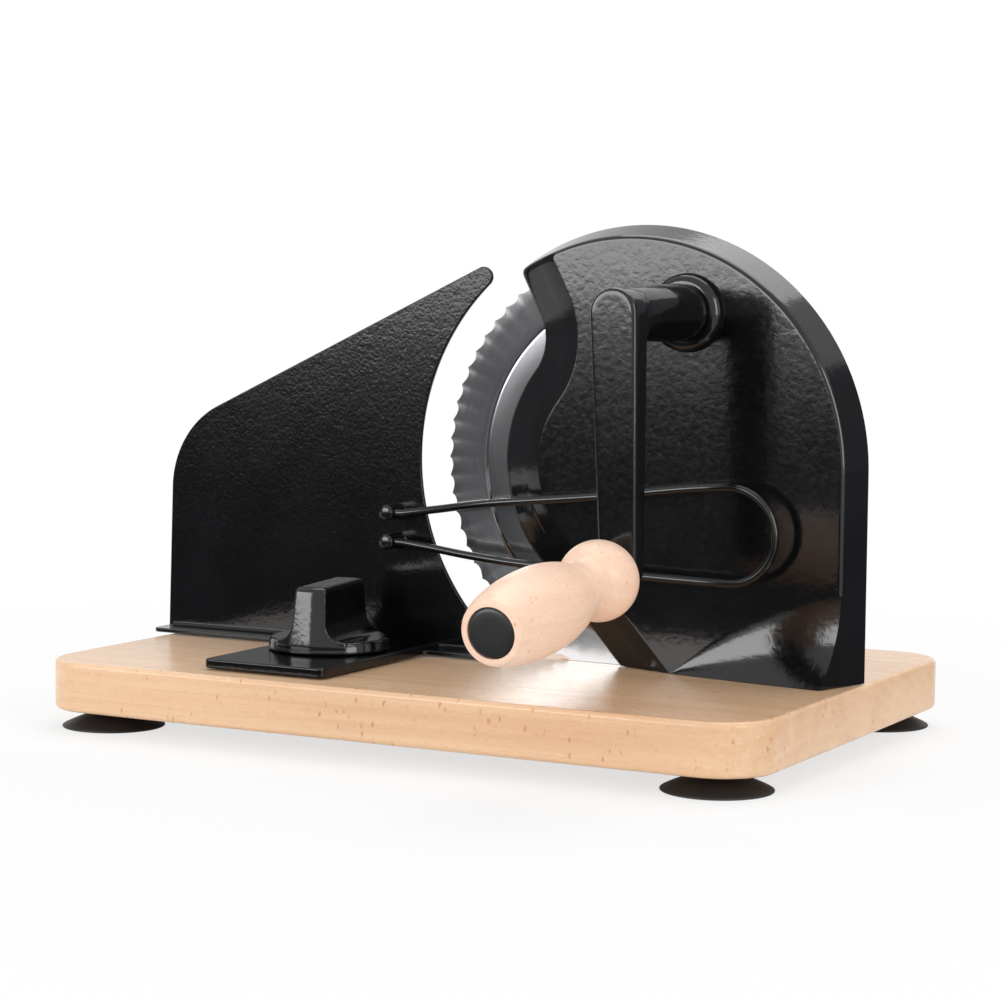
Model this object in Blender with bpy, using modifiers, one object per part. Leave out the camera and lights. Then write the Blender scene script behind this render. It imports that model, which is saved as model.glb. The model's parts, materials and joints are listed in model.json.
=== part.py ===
"""Hand-cranked bread slicer on a beech board.

Frame: metres, +X right along the board, +Y away from the person who turns the crank, +Z up.
The pieces are placed from the centre of the board's underside. At the end the whole slicer is
moved so that the origin is the middle of its bounding box's bottom, which stands on the worktop.
Angles called bearings are measured in the X-Z plane from +X toward +Z, as seen from the front.
"""
import math

import bmesh
import bpy
from mathutils import Matrix, Vector

# General
GAP = 0.0003                     # between neighbouring pieces
SINK = 0.0002                    # how far a fillet reaches into what it joins
PAST = 0.001                     # how far a cutter runs past what it cuts, or a boss into a wall
ROUND = 24                       # sides of a round piece
SMALL_ROUND = 12                 # sides of a pin or screw
KNOB_ROUND = 48                  # sides of the knob and the cam disc
LARGE_ROUND = 96                 # sides of what the blade runs in

# Board
BOARD_LENGTH = 0.340
BOARD_DEPTH = 0.230
BOARD_THICKNESS = 0.022
BOARD_CORNER = 0.024
BOARD_EASING = 0.0018

# Suction feet
FOOT_INSET_X = 0.025
FOOT_INSET_Y = 0.025
FOOT_RADIUS = 0.0225
FOOT_NECK = 0.009
FOOT_NECK_HEIGHT = 0.002
FOOT_HEIGHT = 0.0085
FOOT_FLARE = ((0.0115, 0.0034), (0.0165, 0.0052))        # outside, radius and depth
FOOT_HOLLOW = ((0.0160, 0.0070), (0.0105, 0.0046))       # inside, radius and depth
FOOT_EDGE = 0.0005
FOOT_LIP = 0.0022
FOOT_FLOOR = 0.0034
FOOT_SCREW_RADIUS = 0.0021
FOOT_SCREW_HEAD = 0.0046
FOOT_SCREW_HEAD_HEIGHT = 0.0028
FOOT_SCREW_DEPTH = 0.013

# Blade, its axis seen from the board's centre and top
BLADE_X = 0.065
BLADE_HEIGHT = 0.088
BLADE_RADIUS = 0.095
BLADE_BACK_Y = 0.0084
BLADE_THICKNESS = 0.0015
BLADE_EDGE = 0.0005
BLADE_TEETH = 72
TOOTH_DEPTH = 0.0016
TOOTH_POINTS = 3
DISH_RADIUS = 0.0765
DISH_SLOPE = 0.0025
DISH_DEPTH = 0.0022
BLADE_ROOM = 0.0024              # between the teeth and the housing's wall
SLOT_ROOM = 0.0015               # between the teeth and the board slot's bottom
SLOT_SIDE = 0.001                # between the blade and the slot's walls

# Gear pair between the crank and the blade
GEAR_MODULE = 0.0015
GEAR_TEETH = 64
PINION_TEETH = 31
GEAR_WIDTH = 0.0045
BACKLASH = 0.0004
PRESSURE_ANGLE = math.radians(20)
GEAR_BEARING = math.radians(67.6)

# Housing, one casting
HOUSING_RADIUS = 0.1034
HOUSING_BACK_Y = 0.009
HOUSING_FACE_Y = -0.007
HOUSING_DRAFT = 0.33             # how far the wall leans in for each metre toward the face
HOUSING_WALL = 0.003
HOUSING_FLOOR = 0.004
FACE_ROUNDING = 0.0011
CUT_Y = 0.0042                   # back of the slice bevel, just in front of the blade
CUT_RADIUS = 0.064
CUT_BEVEL = 0.0175
NOTCH_RADIUS = 0.022
NOTCH_BEARING = math.radians(141.5)
TIP_BEARING = math.radians(116.8)
LEG_BEARING = math.radians(222)
FLARE_REACH = 0.072              # from the flare's start, where it is this deep and high
FLARE_DEPTH = 0.0122
FLARE_HEIGHT = 0.045
COLLAR_RADIUS = 0.0165
COLLAR_HEIGHT = 0.006
COLLAR_SHOULDER = 0.004
BOSS_RADIUS = 0.0115
FOOT_BOSS_RADIUS = 0.0052
FOOT_BOSS_HEIGHT = 0.020
HOUSING_SCREWS = ((0.0130, -0.0012), (0.0520, -0.0012), (0.0860, -0.0012))  # from the blade axis
HOUSING_SCREW_RADIUS = 0.0022
HOUSING_SCREW_HEAD = 0.0044
HOUSING_SCREW_HEAD_HEIGHT = 0.0032
HOUSING_SCREW_GRIP = 0.012
COUNTERBORE_DEPTH = 0.005

# Blade bearing
AXLE_RADIUS = 0.005
BUSH_WALL = 0.0017
WASHER_RADIUS = 0.0095
WASHER_THICKNESS = 0.0008
AXLE_SCREW_RADIUS = 0.002
AXLE_SCREW_HEAD = 0.004
AXLE_SCREW_HEAD_HEIGHT = 0.0018
AXLE_SCREW_LENGTH = 0.008
BLADE_SCREW_CIRCLE = 0.028
BLADE_SCREW_RADIUS = 0.0015
BLADE_SCREW_HEAD = 0.003
BLADE_SCREW_HEAD_HEIGHT = 0.0014
BLADE_SCREW_FLOOR = 0.0008       # gear left in front of a blade screw's hole
BLADE_SCREWS = 3

# Crank
SHAFT_RADIUS = 0.005
SHAFT_GRIP = 0.022               # how far the shaft reaches into the hub
CRANK_BUSH_WALL = 0.003
CRANK_LEAN = math.radians(1.9)   # how far the arm hangs from straight down at rest
CRANK_THROW = 0.103
ARM_FRONT_Y = -0.080
ARM_TOP_RADIUS = 0.0094
ARM_END_RADIUS = 0.0072
ARM_TOP_THICKNESS = 0.0125
ARM_END_THICKNESS = 0.009
HUB_RADIUS = 0.0104
GUSSET_SIZE = 0.005
GUSSET_WIDTH = 0.013

# Handle, along its own axis from the arm's front face
HANDLE_DROOP = math.radians(7)
HANDLE_START = 0.001
BALL_RADIUS = 0.0163
BALL_LAND = 0.00094              # straight land between the ball's flat end and its round
BALL_SEAT_WALL = 0.0012          # wood round the bush at the flat end
BALL_STEPS = 9
NECK_BLEND = 0.0012              # how much wider than the neck the ball's round stops
GRIP_SHAPE = ((0.0368, 0.0105), (0.0498, 0.0147), (0.0648, 0.0169), (0.0838, 0.0167),
              (0.0988, 0.0146), (0.1055, 0.0123))
GRIP_END_ROUNDING = 0.001
GRIP_STEPS = 2                   # profile points for each stretch of GRIP_SHAPE
BOLT_RADIUS = 0.0035
BOLT_HEAD_RADIUS = 0.006
BOLT_HEAD_HEIGHT = 0.0035
BOLT_LENGTH = 0.090
BOLT_IN_ARM = 0.0075
HANDLE_BUSH_WALL = 0.0014
HANDLE_BUSH_LENGTH = 0.018
PLUG_RADIUS = 0.0095
PLUG_THICKNESS = 0.004

# Stop plate, one casting with a lip and a tongue along the board
SHEET = 0.002
DECK = 0.004                     # the tongue
SHEET_FLOAT = 0.0008             # under the lip and the tongue
PLATE_FRONT_Y = -0.004
PLATE_LEFT = -0.175
PLATE_RIGHT = 0.002
PLATE_ARC_RADIUS = 0.1042        # about the blade's axis
PLATE_SLOPE = math.radians(24.6)
PLATE_SLOPE_RISE = 0.0959        # above the board, where the slanted edge would meet the left edge
PLATE_CORNER = 0.044
PLATE_TIP_RADIUS = 0.0045
PLATE_TIP_HEIGHT = 0.1685        # centre of the tip's rounding above the board
BEND_RADIUS = 0.003
LIP_FRONT_Y = -0.017
LIP_LEFT = -0.177
LIP_CORNER = 0.0035
TONGUE_WIDTH = 0.058
TONGUE_FRONT_Y = -0.102
TONGUE_CORNER = 0.003
TONGUE_THREAD = 0.003            # how far the block screws reach into it

# Knob and the spiral cam under it
KNOB_X = -0.060
KNOB_Y = -0.0465
KNOB_TURNED = math.radians(10)
KNOB_RADIUS = 0.02565
KNOB_BASE = 0.0055
KNOB_HEIGHT = 0.0290
KNOB_TOP_RADIUS = 0.0243
KNOB_TOP_ROUNDING = 0.003
KNOB_TAPER = 0.1                 # angle that the grip's ends lean in by, in radians
RIDGE_TOP = 0.0065
RIDGE_WAIST = 0.0071
RIDGE_FILLET = 0.0075
SPINDLE_RADIUS = 0.0025
SPINDLE_IN_KNOB = 0.014
SLIDE_TRAVEL = 0.0075            # each way from rest
KNOB_SWEEP = math.radians(135)   # each way from rest
CAM_REST = 0.0135                # from the spindle to the pin at rest
CAM_RADIUS = 0.0245
CAM_THICKNESS = 0.0045
CAM_GROOVE = 0.003
CAM_PIN_RADIUS = 0.0016
CAM_STEPS = 30

# Guide channel sunk in the board, and the block that slides in it
CHANNEL_SHEET = 0.0015
CHANNEL_DEPTH = 0.0113
CHANNEL_SINK = 0.0004
CHANNEL_LIP = 0.004
CHANNEL_SIDE = 0.0005            # between the cam disc and the channel's walls
CHANNEL_END = 0.001
BLOCK_LENGTH = 0.046
BLOCK_SCREW_SPACING = 0.030
BLOCK_SCREW_RADIUS = 0.0013
BLOCK_SCREW_HEAD = 0.0026
BLOCK_SCREW_POCKET = 0.0016
CHANNEL_SCREW_SPACING = 0.056
CHANNEL_SCREW_LENGTH = 0.007

# Wire guard
WIRE_RADIUS = 0.00175
WIRE_Y = -0.0198
LOOP_RADIUS = 0.0202
LOOP_X = 0.1185
LOOP_HEIGHT = 0.0618             # above the board
POST_X = -0.050
POST_RADIUS = 0.0035
POST_LENGTH = 0.0127
POST_HEIGHTS = (0.0499, 0.0630)  # above the board, lower then upper
POST_WIRE_Y = -0.013
WIRE_SWAY_X = 0.020              # where the legs have reached their full distance from the plate
LOWER_BENDS = ((-0.024, 0.0496), (-0.005, 0.0463), (0.027, 0.0440), (0.078, 0.0425))
UPPER_BENDS = ((0.096, 0.0802), (0.056, 0.0752), (0.005, 0.0701), (-0.024, 0.0658))
WIRE_LOOP_STEPS = 14
WIRE_LEG_STEPS = 3

# Places that follow from the sizes
BOARD_TOP = BOARD_THICKNESS
BLADE_Z = BOARD_TOP + BLADE_HEIGHT
GEAR_DISTANCE = GEAR_MODULE * (GEAR_TEETH + PINION_TEETH) / 2
CRANK_X = BLADE_X + GEAR_DISTANCE * math.cos(GEAR_BEARING)
CRANK_Z = BLADE_Z + GEAR_DISTANCE * math.sin(GEAR_BEARING)
RIM_FRONT_Y = BLADE_BACK_Y - BLADE_THICKNESS
DISC_BACK_Y = BLADE_BACK_Y - DISH_DEPTH
DISC_FRONT_Y = RIM_FRONT_Y - DISH_DEPTH
GEAR_BACK_Y = DISC_FRONT_Y - GAP
GEAR_FRONT_Y = GEAR_BACK_Y - GEAR_WIDTH
FACE_INNER_Y = HOUSING_FACE_Y + HOUSING_WALL
COLLAR_FRONT_Y = HOUSING_FACE_Y - COLLAR_HEIGHT
HOUSING_BASE_Z = BOARD_TOP + GAP
HANDLE_END = GRIP_SHAPE[-1][0] + GRIP_END_ROUNDING
CAM_PITCH = SLIDE_TRAVEL / KNOB_SWEEP                    # metres of slide for each radian
CHANNEL_TOP_Z = BOARD_TOP - CHANNEL_SINK
CHANNEL_BOTTOM_Z = CHANNEL_TOP_Z - CHANNEL_DEPTH
CHANNEL_FLOOR_Z = CHANNEL_BOTTOM_Z + CHANNEL_SHEET
CHANNEL_HALF = CAM_RADIUS + CHANNEL_SIDE + CHANNEL_SHEET
CHANNEL_FRONT_Y = KNOB_Y - SLIDE_TRAVEL - CAM_RADIUS - CHANNEL_END
CHANNEL_BACK_Y = KNOB_Y + SLIDE_TRAVEL + CAM_RADIUS + CHANNEL_END
CAM_BOTTOM_Z = CHANNEL_FLOOR_Z + GAP
CAM_TOP_Z = CAM_BOTTOM_Z + CAM_THICKNESS
BLOCK_BOTTOM_Z = CAM_TOP_Z + GAP
BLOCK_SHOULDER_Z = CHANNEL_TOP_Z - CHANNEL_SHEET - GAP
BLOCK_TOP_Z = BOARD_TOP + SHEET_FLOAT - GAP
FACING_FRONT = (math.pi / 2, 0, 0)
CUTTERS_NAME = "cutters"
PARTS_NAME = "bread_slicer"


# Scene and materials

def clear_scene():
    for obj in list(bpy.data.objects):
        bpy.data.objects.remove(obj, do_unlink=True)


def new_collection(name):
    collection = bpy.data.collections.new(name)
    bpy.context.scene.collection.children.link(collection)
    return collection


def make_material(name, color, roughness, metallic=0.0):
    material = bpy.data.materials.new(name)
    material.use_nodes = True
    shader = material.node_tree.nodes["Principled BSDF"]
    shader.inputs["Base Color"].default_value = (*color, 1.0)
    shader.inputs["Roughness"].default_value = roughness
    shader.inputs["Metallic"].default_value = metallic
    material.diffuse_color = (*color, 1.0)
    return material


# Points

def polar(radius, angle, centre=(0.0, 0.0)):
    return (centre[0] + radius * math.cos(angle), centre[1] + radius * math.sin(angle))


def arc(radius, start, end, steps, centre=(0.0, 0.0)):
    return [polar(radius, start + (end - start) * i / steps, centre) for i in range(steps + 1)]


def circle(radius, sides, centre=(0.0, 0.0)):
    return [polar(radius, 2 * math.pi * i / sides, centre) for i in range(sides)]


def rounded_rectangle(x0, x1, y0, y1, radius, steps=6):
    quarter = math.pi / 2
    points = []
    for i, centre in enumerate(((x1 - radius, y1 - radius), (x0 + radius, y1 - radius),
                                (x0 + radius, y0 + radius), (x1 - radius, y0 + radius))):
        points += arc(radius, i * quarter, (i + 1) * quarter, steps, centre)
    return points


def line_meets_circle(start, direction, radius):
    """Far point where a line meets a circle about the origin."""
    along = start[0] * direction[0] + start[1] * direction[1]
    offset = start[0] ** 2 + start[1] ** 2 - radius ** 2
    reach = -along + math.sqrt(along ** 2 - offset)
    return (start[0] + direction[0] * reach, start[1] + direction[1] * reach)


def smooth_through(points, steps):
    """Catmull-Rom points through a few chosen ones."""
    vectors = [Vector(p) for p in points]
    padded = [2 * vectors[0] - vectors[1], *vectors, 2 * vectors[-1] - vectors[-2]]
    result = []
    for a, b, c, d in zip(padded, padded[1:], padded[2:], padded[3:]):
        for i in range(steps):
            t = i / steps
            result.append(0.5 * (2 * b + (c - a) * t + (2 * a - 5 * b + 4 * c - d) * t ** 2
                                 + (3 * b - a - 3 * c + d) * t ** 3))
    return result + [vectors[-1]]


# Solids

def object_from_bmesh(name, bm, collection):
    mesh = bpy.data.meshes.new(name)
    bmesh.ops.recalc_face_normals(bm, faces=bm.faces)
    bm.to_mesh(mesh)
    bm.free()
    obj = bpy.data.objects.new(name, mesh)
    collection.objects.link(obj)
    return obj


def mesh_from_curve(name, curve, collection):
    """The mesh of a curve, with its loose caps welded on."""
    source = bpy.data.objects.new(name + "_curve", curve)
    collection.objects.link(source)
    bpy.context.view_layer.update()
    depsgraph = bpy.context.evaluated_depsgraph_get()
    mesh = bpy.data.meshes.new_from_object(source.evaluated_get(depsgraph))
    bm = bmesh.new()
    bm.from_mesh(mesh)
    bmesh.ops.remove_doubles(bm, verts=bm.verts, dist=1e-6)
    bpy.data.objects.remove(source, do_unlink=True)
    bpy.data.meshes.remove(mesh)
    return object_from_bmesh(name, bm, collection)


def flat_plate(name, outlines, low, high, collection):
    """Extrude outlines in X-Y from z low to z high; inner outlines are holes."""
    curve = bpy.data.curves.new(name, "CURVE")
    curve.dimensions = "2D"
    curve.fill_mode = "BOTH"
    curve.extrude = (high - low) / 2
    for outline in outlines:
        spline = curve.splines.new("POLY")
        spline.points.add(len(outline) - 1)
        for point, (x, y) in zip(spline.points, outline):
            point.co = (x, y, 0.0, 1.0)
        spline.use_cyclic_u = True
    obj = mesh_from_curve(name, curve, collection)
    for vertex in obj.data.vertices:
        vertex.co.z = high if vertex.co.z > 0 else low
    return obj


def upright_plate(name, outlines, front, back, collection):
    """Extrude outlines in X-Z from y front to y back."""
    obj = flat_plate(name, outlines, -back, -front, collection)
    obj.data.transform(Matrix.Rotation(math.pi / 2, 4, "X"))
    return obj


def along_x_plate(name, outline, left, right, collection):
    """Extrude an outline in Y-Z from x left to x right."""
    obj = flat_plate(name, [outline], left, right, collection)
    obj.data.transform(Matrix(((0, 0, 1, 0), (1, 0, 0, 0), (0, 1, 0, 0), (0, 0, 0, 1))))
    return obj


def box(name, low, high, collection):
    bm = bmesh.new()
    bmesh.ops.create_cube(bm, size=1.0)
    size = Vector(high) - Vector(low)
    middle = (Vector(high) + Vector(low)) / 2
    bmesh.ops.transform(bm, matrix=Matrix.Translation(middle) @ Matrix.Diagonal((*size, 1)),
                        verts=bm.verts)
    return object_from_bmesh(name, bm, collection)


def cylinder(name, radius, start, end, sides, collection, top_radius=None):
    """A round bar from one point to another along Y or Z."""
    bm = bmesh.new()
    start, end = Vector(start), Vector(end)
    length = (end - start).length
    turn = (end - start).to_track_quat("Z", "Y").to_matrix().to_4x4()
    bmesh.ops.create_cone(bm, cap_ends=True, segments=sides, radius1=radius, depth=length,
                          radius2=radius if top_radius is None else top_radius,
                          matrix=Matrix.Translation((start + end) / 2) @ turn)
    return object_from_bmesh(name, bm, collection)


def turned(name, profile, sides, collection, closed=False):
    """Turn (radius, z) points about Z; the outer side runs from top to bottom."""
    bm = bmesh.new()
    verts = [bm.verts.new((radius, 0.0, z)) for radius, z in profile]
    for a, b in zip(verts, verts[1:]):
        bm.edges.new((a, b))
    if closed:
        bm.edges.new((verts[-1], verts[0]))
    mesh = bpy.data.meshes.new(name)
    bm.to_mesh(mesh)
    bm.free()
    obj = bpy.data.objects.new(name, mesh)
    collection.objects.link(obj)
    screw = obj.modifiers.new("turn", "SCREW")
    screw.angle = 2 * math.pi
    screw.steps = sides
    screw.render_steps = sides
    screw.use_merge_vertices = True
    screw.merge_threshold = 1e-6
    return obj


def turned_along_y(name, profile, sides, collection, closed=False):
    """Turn (radius, y) points about Y; the outer side runs from front to back."""
    obj = turned(name, [(radius, -y) for radius, y in profile], sides, collection, closed)
    obj.rotation_euler = FACING_FRONT
    return obj


def ring_profile(inner, outer, start, end):
    return [(outer, start), (outer, end), (inner, end), (inner, start)]


def loft(name, rings, collection):
    """Skin rings of equally many points, with flat ends."""
    bm = bmesh.new()
    rows = [[bm.verts.new(p) for p in ring] for ring in rings]
    count = len(rows[0])
    for low, high in zip(rows, rows[1:]):
        for i in range(count):
            j = (i + 1) % count
            bm.faces.new((low[i], low[j], high[j], high[i]))
    bm.faces.new(rows[0])
    bm.faces.new(rows[-1])
    return object_from_bmesh(name, bm, collection)


def share_of(ring, i, count):
    """The i-th of a ring's equal shares, up to the point that starts the next."""
    step = len(ring) // count
    return [ring[(i * step + k) % len(ring)] for k in range(step + 1)]


def loft_ring(name, rings, collection):
    """Skin rings and close the last on the first; one may have a few times another's points."""
    bm = bmesh.new()
    rows = [[bm.verts.new(p) for p in ring] for ring in rings]
    for low, high in zip(rows, rows[1:] + rows[:1]):
        count = min(len(low), len(high))
        for i in range(count):
            bm.faces.new(share_of(low, i, count) + share_of(high, i, count)[::-1])
    return object_from_bmesh(name, bm, collection)


def wire(name, points, radius, collection):
    curve = bpy.data.curves.new(name, "CURVE")
    curve.dimensions = "3D"
    curve.bevel_depth = radius
    curve.bevel_resolution = 2
    curve.use_fill_caps = True
    spline = curve.splines.new("POLY")
    spline.points.add(len(points) - 1)
    for point, place in zip(spline.points, points):
        point.co = (*place, 1.0)
    return mesh_from_curve(name, curve, collection)


def together(name, pieces):
    """One cutter made of several that stand clear of each other."""
    bpy.context.view_layer.update()
    depsgraph = bpy.context.evaluated_depsgraph_get()
    bm = bmesh.new()
    for piece in pieces:
        mesh = bpy.data.meshes.new_from_object(piece.evaluated_get(depsgraph))
        mesh.transform(piece.matrix_world)
        bm.from_mesh(mesh)
        bpy.data.meshes.remove(mesh)
    for piece in pieces:
        bpy.data.objects.remove(piece, do_unlink=True)
    return object_from_bmesh(name, bm, cutters)


def boolean(obj, other, operation):
    modifier = obj.modifiers.new(other.name, "BOOLEAN")
    modifier.operation = operation
    modifier.solver = "EXACT"
    modifier.object = other
    other.hide_render = True
    other.display_type = "WIRE"


def cut(obj, *others):
    for other in others:
        boolean(obj, other, "DIFFERENCE")


def join(obj, *others):
    for other in others:
        boolean(obj, other, "UNION")


def finish(obj, material, parent=None):
    """Give a piece its material, its parent and smooth shading with sharp edges kept."""
    obj.data.materials.clear()
    obj.data.materials.append(material)
    obj.data.shade_smooth()
    if len(obj.data.polygons):
        obj.data.set_sharp_from_angle(angle=math.radians(32))
    obj.parent = parent
    return obj


def empty(name, location, parent=None, rotation=(0, 0, 0)):
    obj = bpy.data.objects.new(name, None)
    parts.objects.link(obj)
    obj.empty_display_size = 0.02
    obj.location = location
    obj.rotation_euler = rotation
    obj.parent = parent
    return obj


def child_of(cutter, parent):
    """Carry a cutter with the empty that carries the pieces it cuts."""
    cutter.parent = parent
    return cutter


def stand_at_origin(slicer):
    """Carry everything with one empty, and bring the middle of the box's bottom to the origin."""
    graph = bpy.context.evaluated_depsgraph_get()
    points = []
    for obj in parts.objects:
        if obj.type != "EMPTY":
            shape = obj.evaluated_get(graph)
            points += [obj.matrix_world @ v.co for v in shape.to_mesh().vertices]
            shape.to_mesh_clear()
    low = [min(p[i] for p in points) for i in range(3)]
    high = [max(p[i] for p in points) for i in range(3)]
    for obj in [*parts.objects, *cutters.objects]:
        if obj.parent is None and obj != slicer:
            obj.parent = slicer
    slicer.location = (-(low[0] + high[0]) / 2, -(low[1] + high[1]) / 2, -low[2])


# Board and feet

def foot_places():
    x = BOARD_LENGTH / 2 - FOOT_INSET_X
    y = BOARD_DEPTH / 2 - FOOT_INSET_Y
    return {"foot_front_left": (-x, -y), "foot_front_right": (x, -y),
            "foot_back_left": (-x, y), "foot_back_right": (x, y)}


def housing_screw_places():
    return [(BLADE_X + dx, y) for dx, y in HOUSING_SCREWS]


def channel_screw_places():
    middle = (CHANNEL_FRONT_Y + CHANNEL_BACK_Y) / 2
    return [(KNOB_X, middle + side * CHANNEL_SCREW_SPACING / 2) for side in (-1, 1)]


def make_board():
    half_x, half_y = BOARD_LENGTH / 2, BOARD_DEPTH / 2
    outline = rounded_rectangle(-half_x, half_x, -half_y, half_y, BOARD_CORNER)
    board = flat_plate("board", [outline], 0.0, BOARD_THICKNESS, parts)
    easing = board.modifiers.new("easing", "BEVEL")
    easing.width = BOARD_EASING
    easing.segments = 2
    easing.limit_method = "ANGLE"
    easing.angle_limit = math.radians(60)
    slot = cylinder("board_slot", BLADE_RADIUS + SLOT_ROOM,
                    (BLADE_X, RIM_FRONT_Y - SLOT_SIDE, BLADE_Z),
                    (BLADE_X, BLADE_BACK_Y + SLOT_SIDE, BLADE_Z), LARGE_ROUND, cutters)
    recess = box("board_recess",
                 (KNOB_X - CHANNEL_HALF - GAP, CHANNEL_FRONT_Y - GAP, CHANNEL_BOTTOM_Z - GAP),
                 (KNOB_X + CHANNEL_HALF + GAP, CHANNEL_BACK_Y + GAP, BOARD_TOP + BOARD_EASING),
                 cutters)
    holes = [cylinder(name + "_hole", FOOT_SCREW_RADIUS + GAP, (x, y, -PAST),
                      (x, y, FOOT_SCREW_DEPTH + GAP), SMALL_ROUND, cutters)
             for name, (x, y) in foot_places().items()]
    shank, head = HOUSING_SCREW_RADIUS + GAP, HOUSING_SCREW_HEAD + 2 * GAP
    stepped = [(0.0, BOARD_TOP + PAST), (shank, BOARD_TOP + PAST), (shank, COUNTERBORE_DEPTH),
               (head, COUNTERBORE_DEPTH), (head, -PAST), (0.0, -PAST)]
    for i, (x, y) in enumerate(housing_screw_places()):
        bore = turned(f"housing_screw_bore_{i}", stepped, SMALL_ROUND, cutters)
        bore.location = (x, y, 0)
        holes.append(bore)
    holes += [cylinder(f"channel_screw_hole_{i}", BLOCK_SCREW_RADIUS + GAP,
                       (x, y, CHANNEL_BOTTOM_Z - CHANNEL_SCREW_LENGTH), (x, y, BOARD_TOP),
                       SMALL_ROUND, cutters)
              for i, (x, y) in enumerate(channel_screw_places())]
    cut(board, slot, recess, together("board_holes", holes))
    return finish(board, beech)


def make_feet():
    neck = [(FOOT_NECK, -GAP), (FOOT_NECK, -FOOT_NECK_HEIGHT)]
    rim = [(FOOT_RADIUS - 2 * FOOT_EDGE, -FOOT_HEIGHT + 2 * FOOT_EDGE),
           (FOOT_RADIUS, -FOOT_HEIGHT + FOOT_EDGE), (FOOT_RADIUS, -FOOT_HEIGHT),
           (FOOT_RADIUS - FOOT_LIP, -FOOT_HEIGHT)]
    seat = [(FOOT_SCREW_HEAD + 3 * GAP, -FOOT_FLOOR), (FOOT_SCREW_RADIUS + GAP, -FOOT_FLOOR),
            (FOOT_SCREW_RADIUS + GAP, -GAP)]
    profile = (neck + [(r, -depth) for r, depth in FOOT_FLARE] + rim
               + [(r, -depth) for r, depth in FOOT_HOLLOW] + seat)
    for name, (x, y) in foot_places().items():
        foot = turned(name, profile, ROUND, parts, closed=True)
        foot.location = (x, y, 0)
        finish(foot, rubber)


def screw_profile(shank, head, tip, seat, head_height):
    """A dome-headed screw along Z, head downward."""
    return [(0.0, tip), (shank * 0.6, tip), (shank, tip - shank), (shank, seat), (head, seat),
            (head, seat - head_height * 0.4), (head * 0.7, seat - head_height * 0.85),
            (0.0, seat - head_height)]


def screw_set(name, profile, places, material, parent=None, turn=(0, 0, 0)):
    """Equal screws, each an object of its own that shares one mesh."""
    first = turned(f"{name}_1", profile, SMALL_ROUND, parts)
    bpy.context.view_layer.update()
    depsgraph = bpy.context.evaluated_depsgraph_get()
    mesh = bpy.data.meshes.new_from_object(first.evaluated_get(depsgraph))
    bpy.data.objects.remove(first, do_unlink=True)
    for i, place in enumerate(places):
        screw = bpy.data.objects.new(f"{name}_{i + 1}" if places[1:] else name, mesh)
        parts.objects.link(screw)
        screw.location = place
        screw.rotation_euler = turn
        finish(screw, material, parent)


def make_board_screws():
    screw_set("foot_screw",
              screw_profile(FOOT_SCREW_RADIUS, FOOT_SCREW_HEAD, FOOT_SCREW_DEPTH - GAP,
                            -FOOT_FLOOR - GAP, FOOT_SCREW_HEAD_HEIGHT),
              [(x, y, 0) for x, y in foot_places().values()], steel)
    screw_set("housing_screw",
              screw_profile(HOUSING_SCREW_RADIUS, HOUSING_SCREW_HEAD,
                            BOARD_TOP + HOUSING_SCREW_GRIP - GAP, COUNTERBORE_DEPTH - GAP,
                            HOUSING_SCREW_HEAD_HEIGHT),
              [(x, y, 0) for x, y in housing_screw_places()], steel)


# Housing

def from_blade(points):
    """Move points about the blade's axis to their place in X-Z."""
    return [(x + BLADE_X, z + BLADE_Z) for x, z in points]


def housing_outline(rim_inset, cut_inset, floor):
    """Outline in X-Z: rim, right wall, foot, leg, slice edge, notch and tip."""
    rim = HOUSING_RADIUS - rim_inset
    edge = CUT_RADIUS - cut_inset
    notch = NOTCH_RADIUS + cut_inset
    notch_centre = polar(CUT_RADIUS + NOTCH_RADIUS, NOTCH_BEARING)
    tip_start = polar(notch, TIP_BEARING - math.pi / 2, notch_centre)
    tip = line_meets_circle(tip_start, (math.cos(TIP_BEARING), math.sin(TIP_BEARING)), rim)
    tip_angle = math.atan2(tip[1], tip[0])
    leg_start = polar(edge, LEG_BEARING)
    leg_direction = (math.cos(LEG_BEARING + math.pi / 2), math.sin(LEG_BEARING + math.pi / 2))
    leg_reach = (floor - leg_start[1]) / leg_direction[1]
    leg_end = (leg_start[0] + leg_direction[0] * leg_reach, floor)
    points = arc(rim, tip_angle, 0.0, 26)
    points += [(rim, floor), leg_end]
    points += arc(edge, LEG_BEARING, NOTCH_BEARING, 14)
    points += arc(notch, NOTCH_BEARING + math.pi, TIP_BEARING + 1.5 * math.pi, 8,
                  notch_centre)[1:]
    return from_blade(points)


def ring_at(outline, y):
    return [(x, y, z) for x, z in outline]


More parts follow.
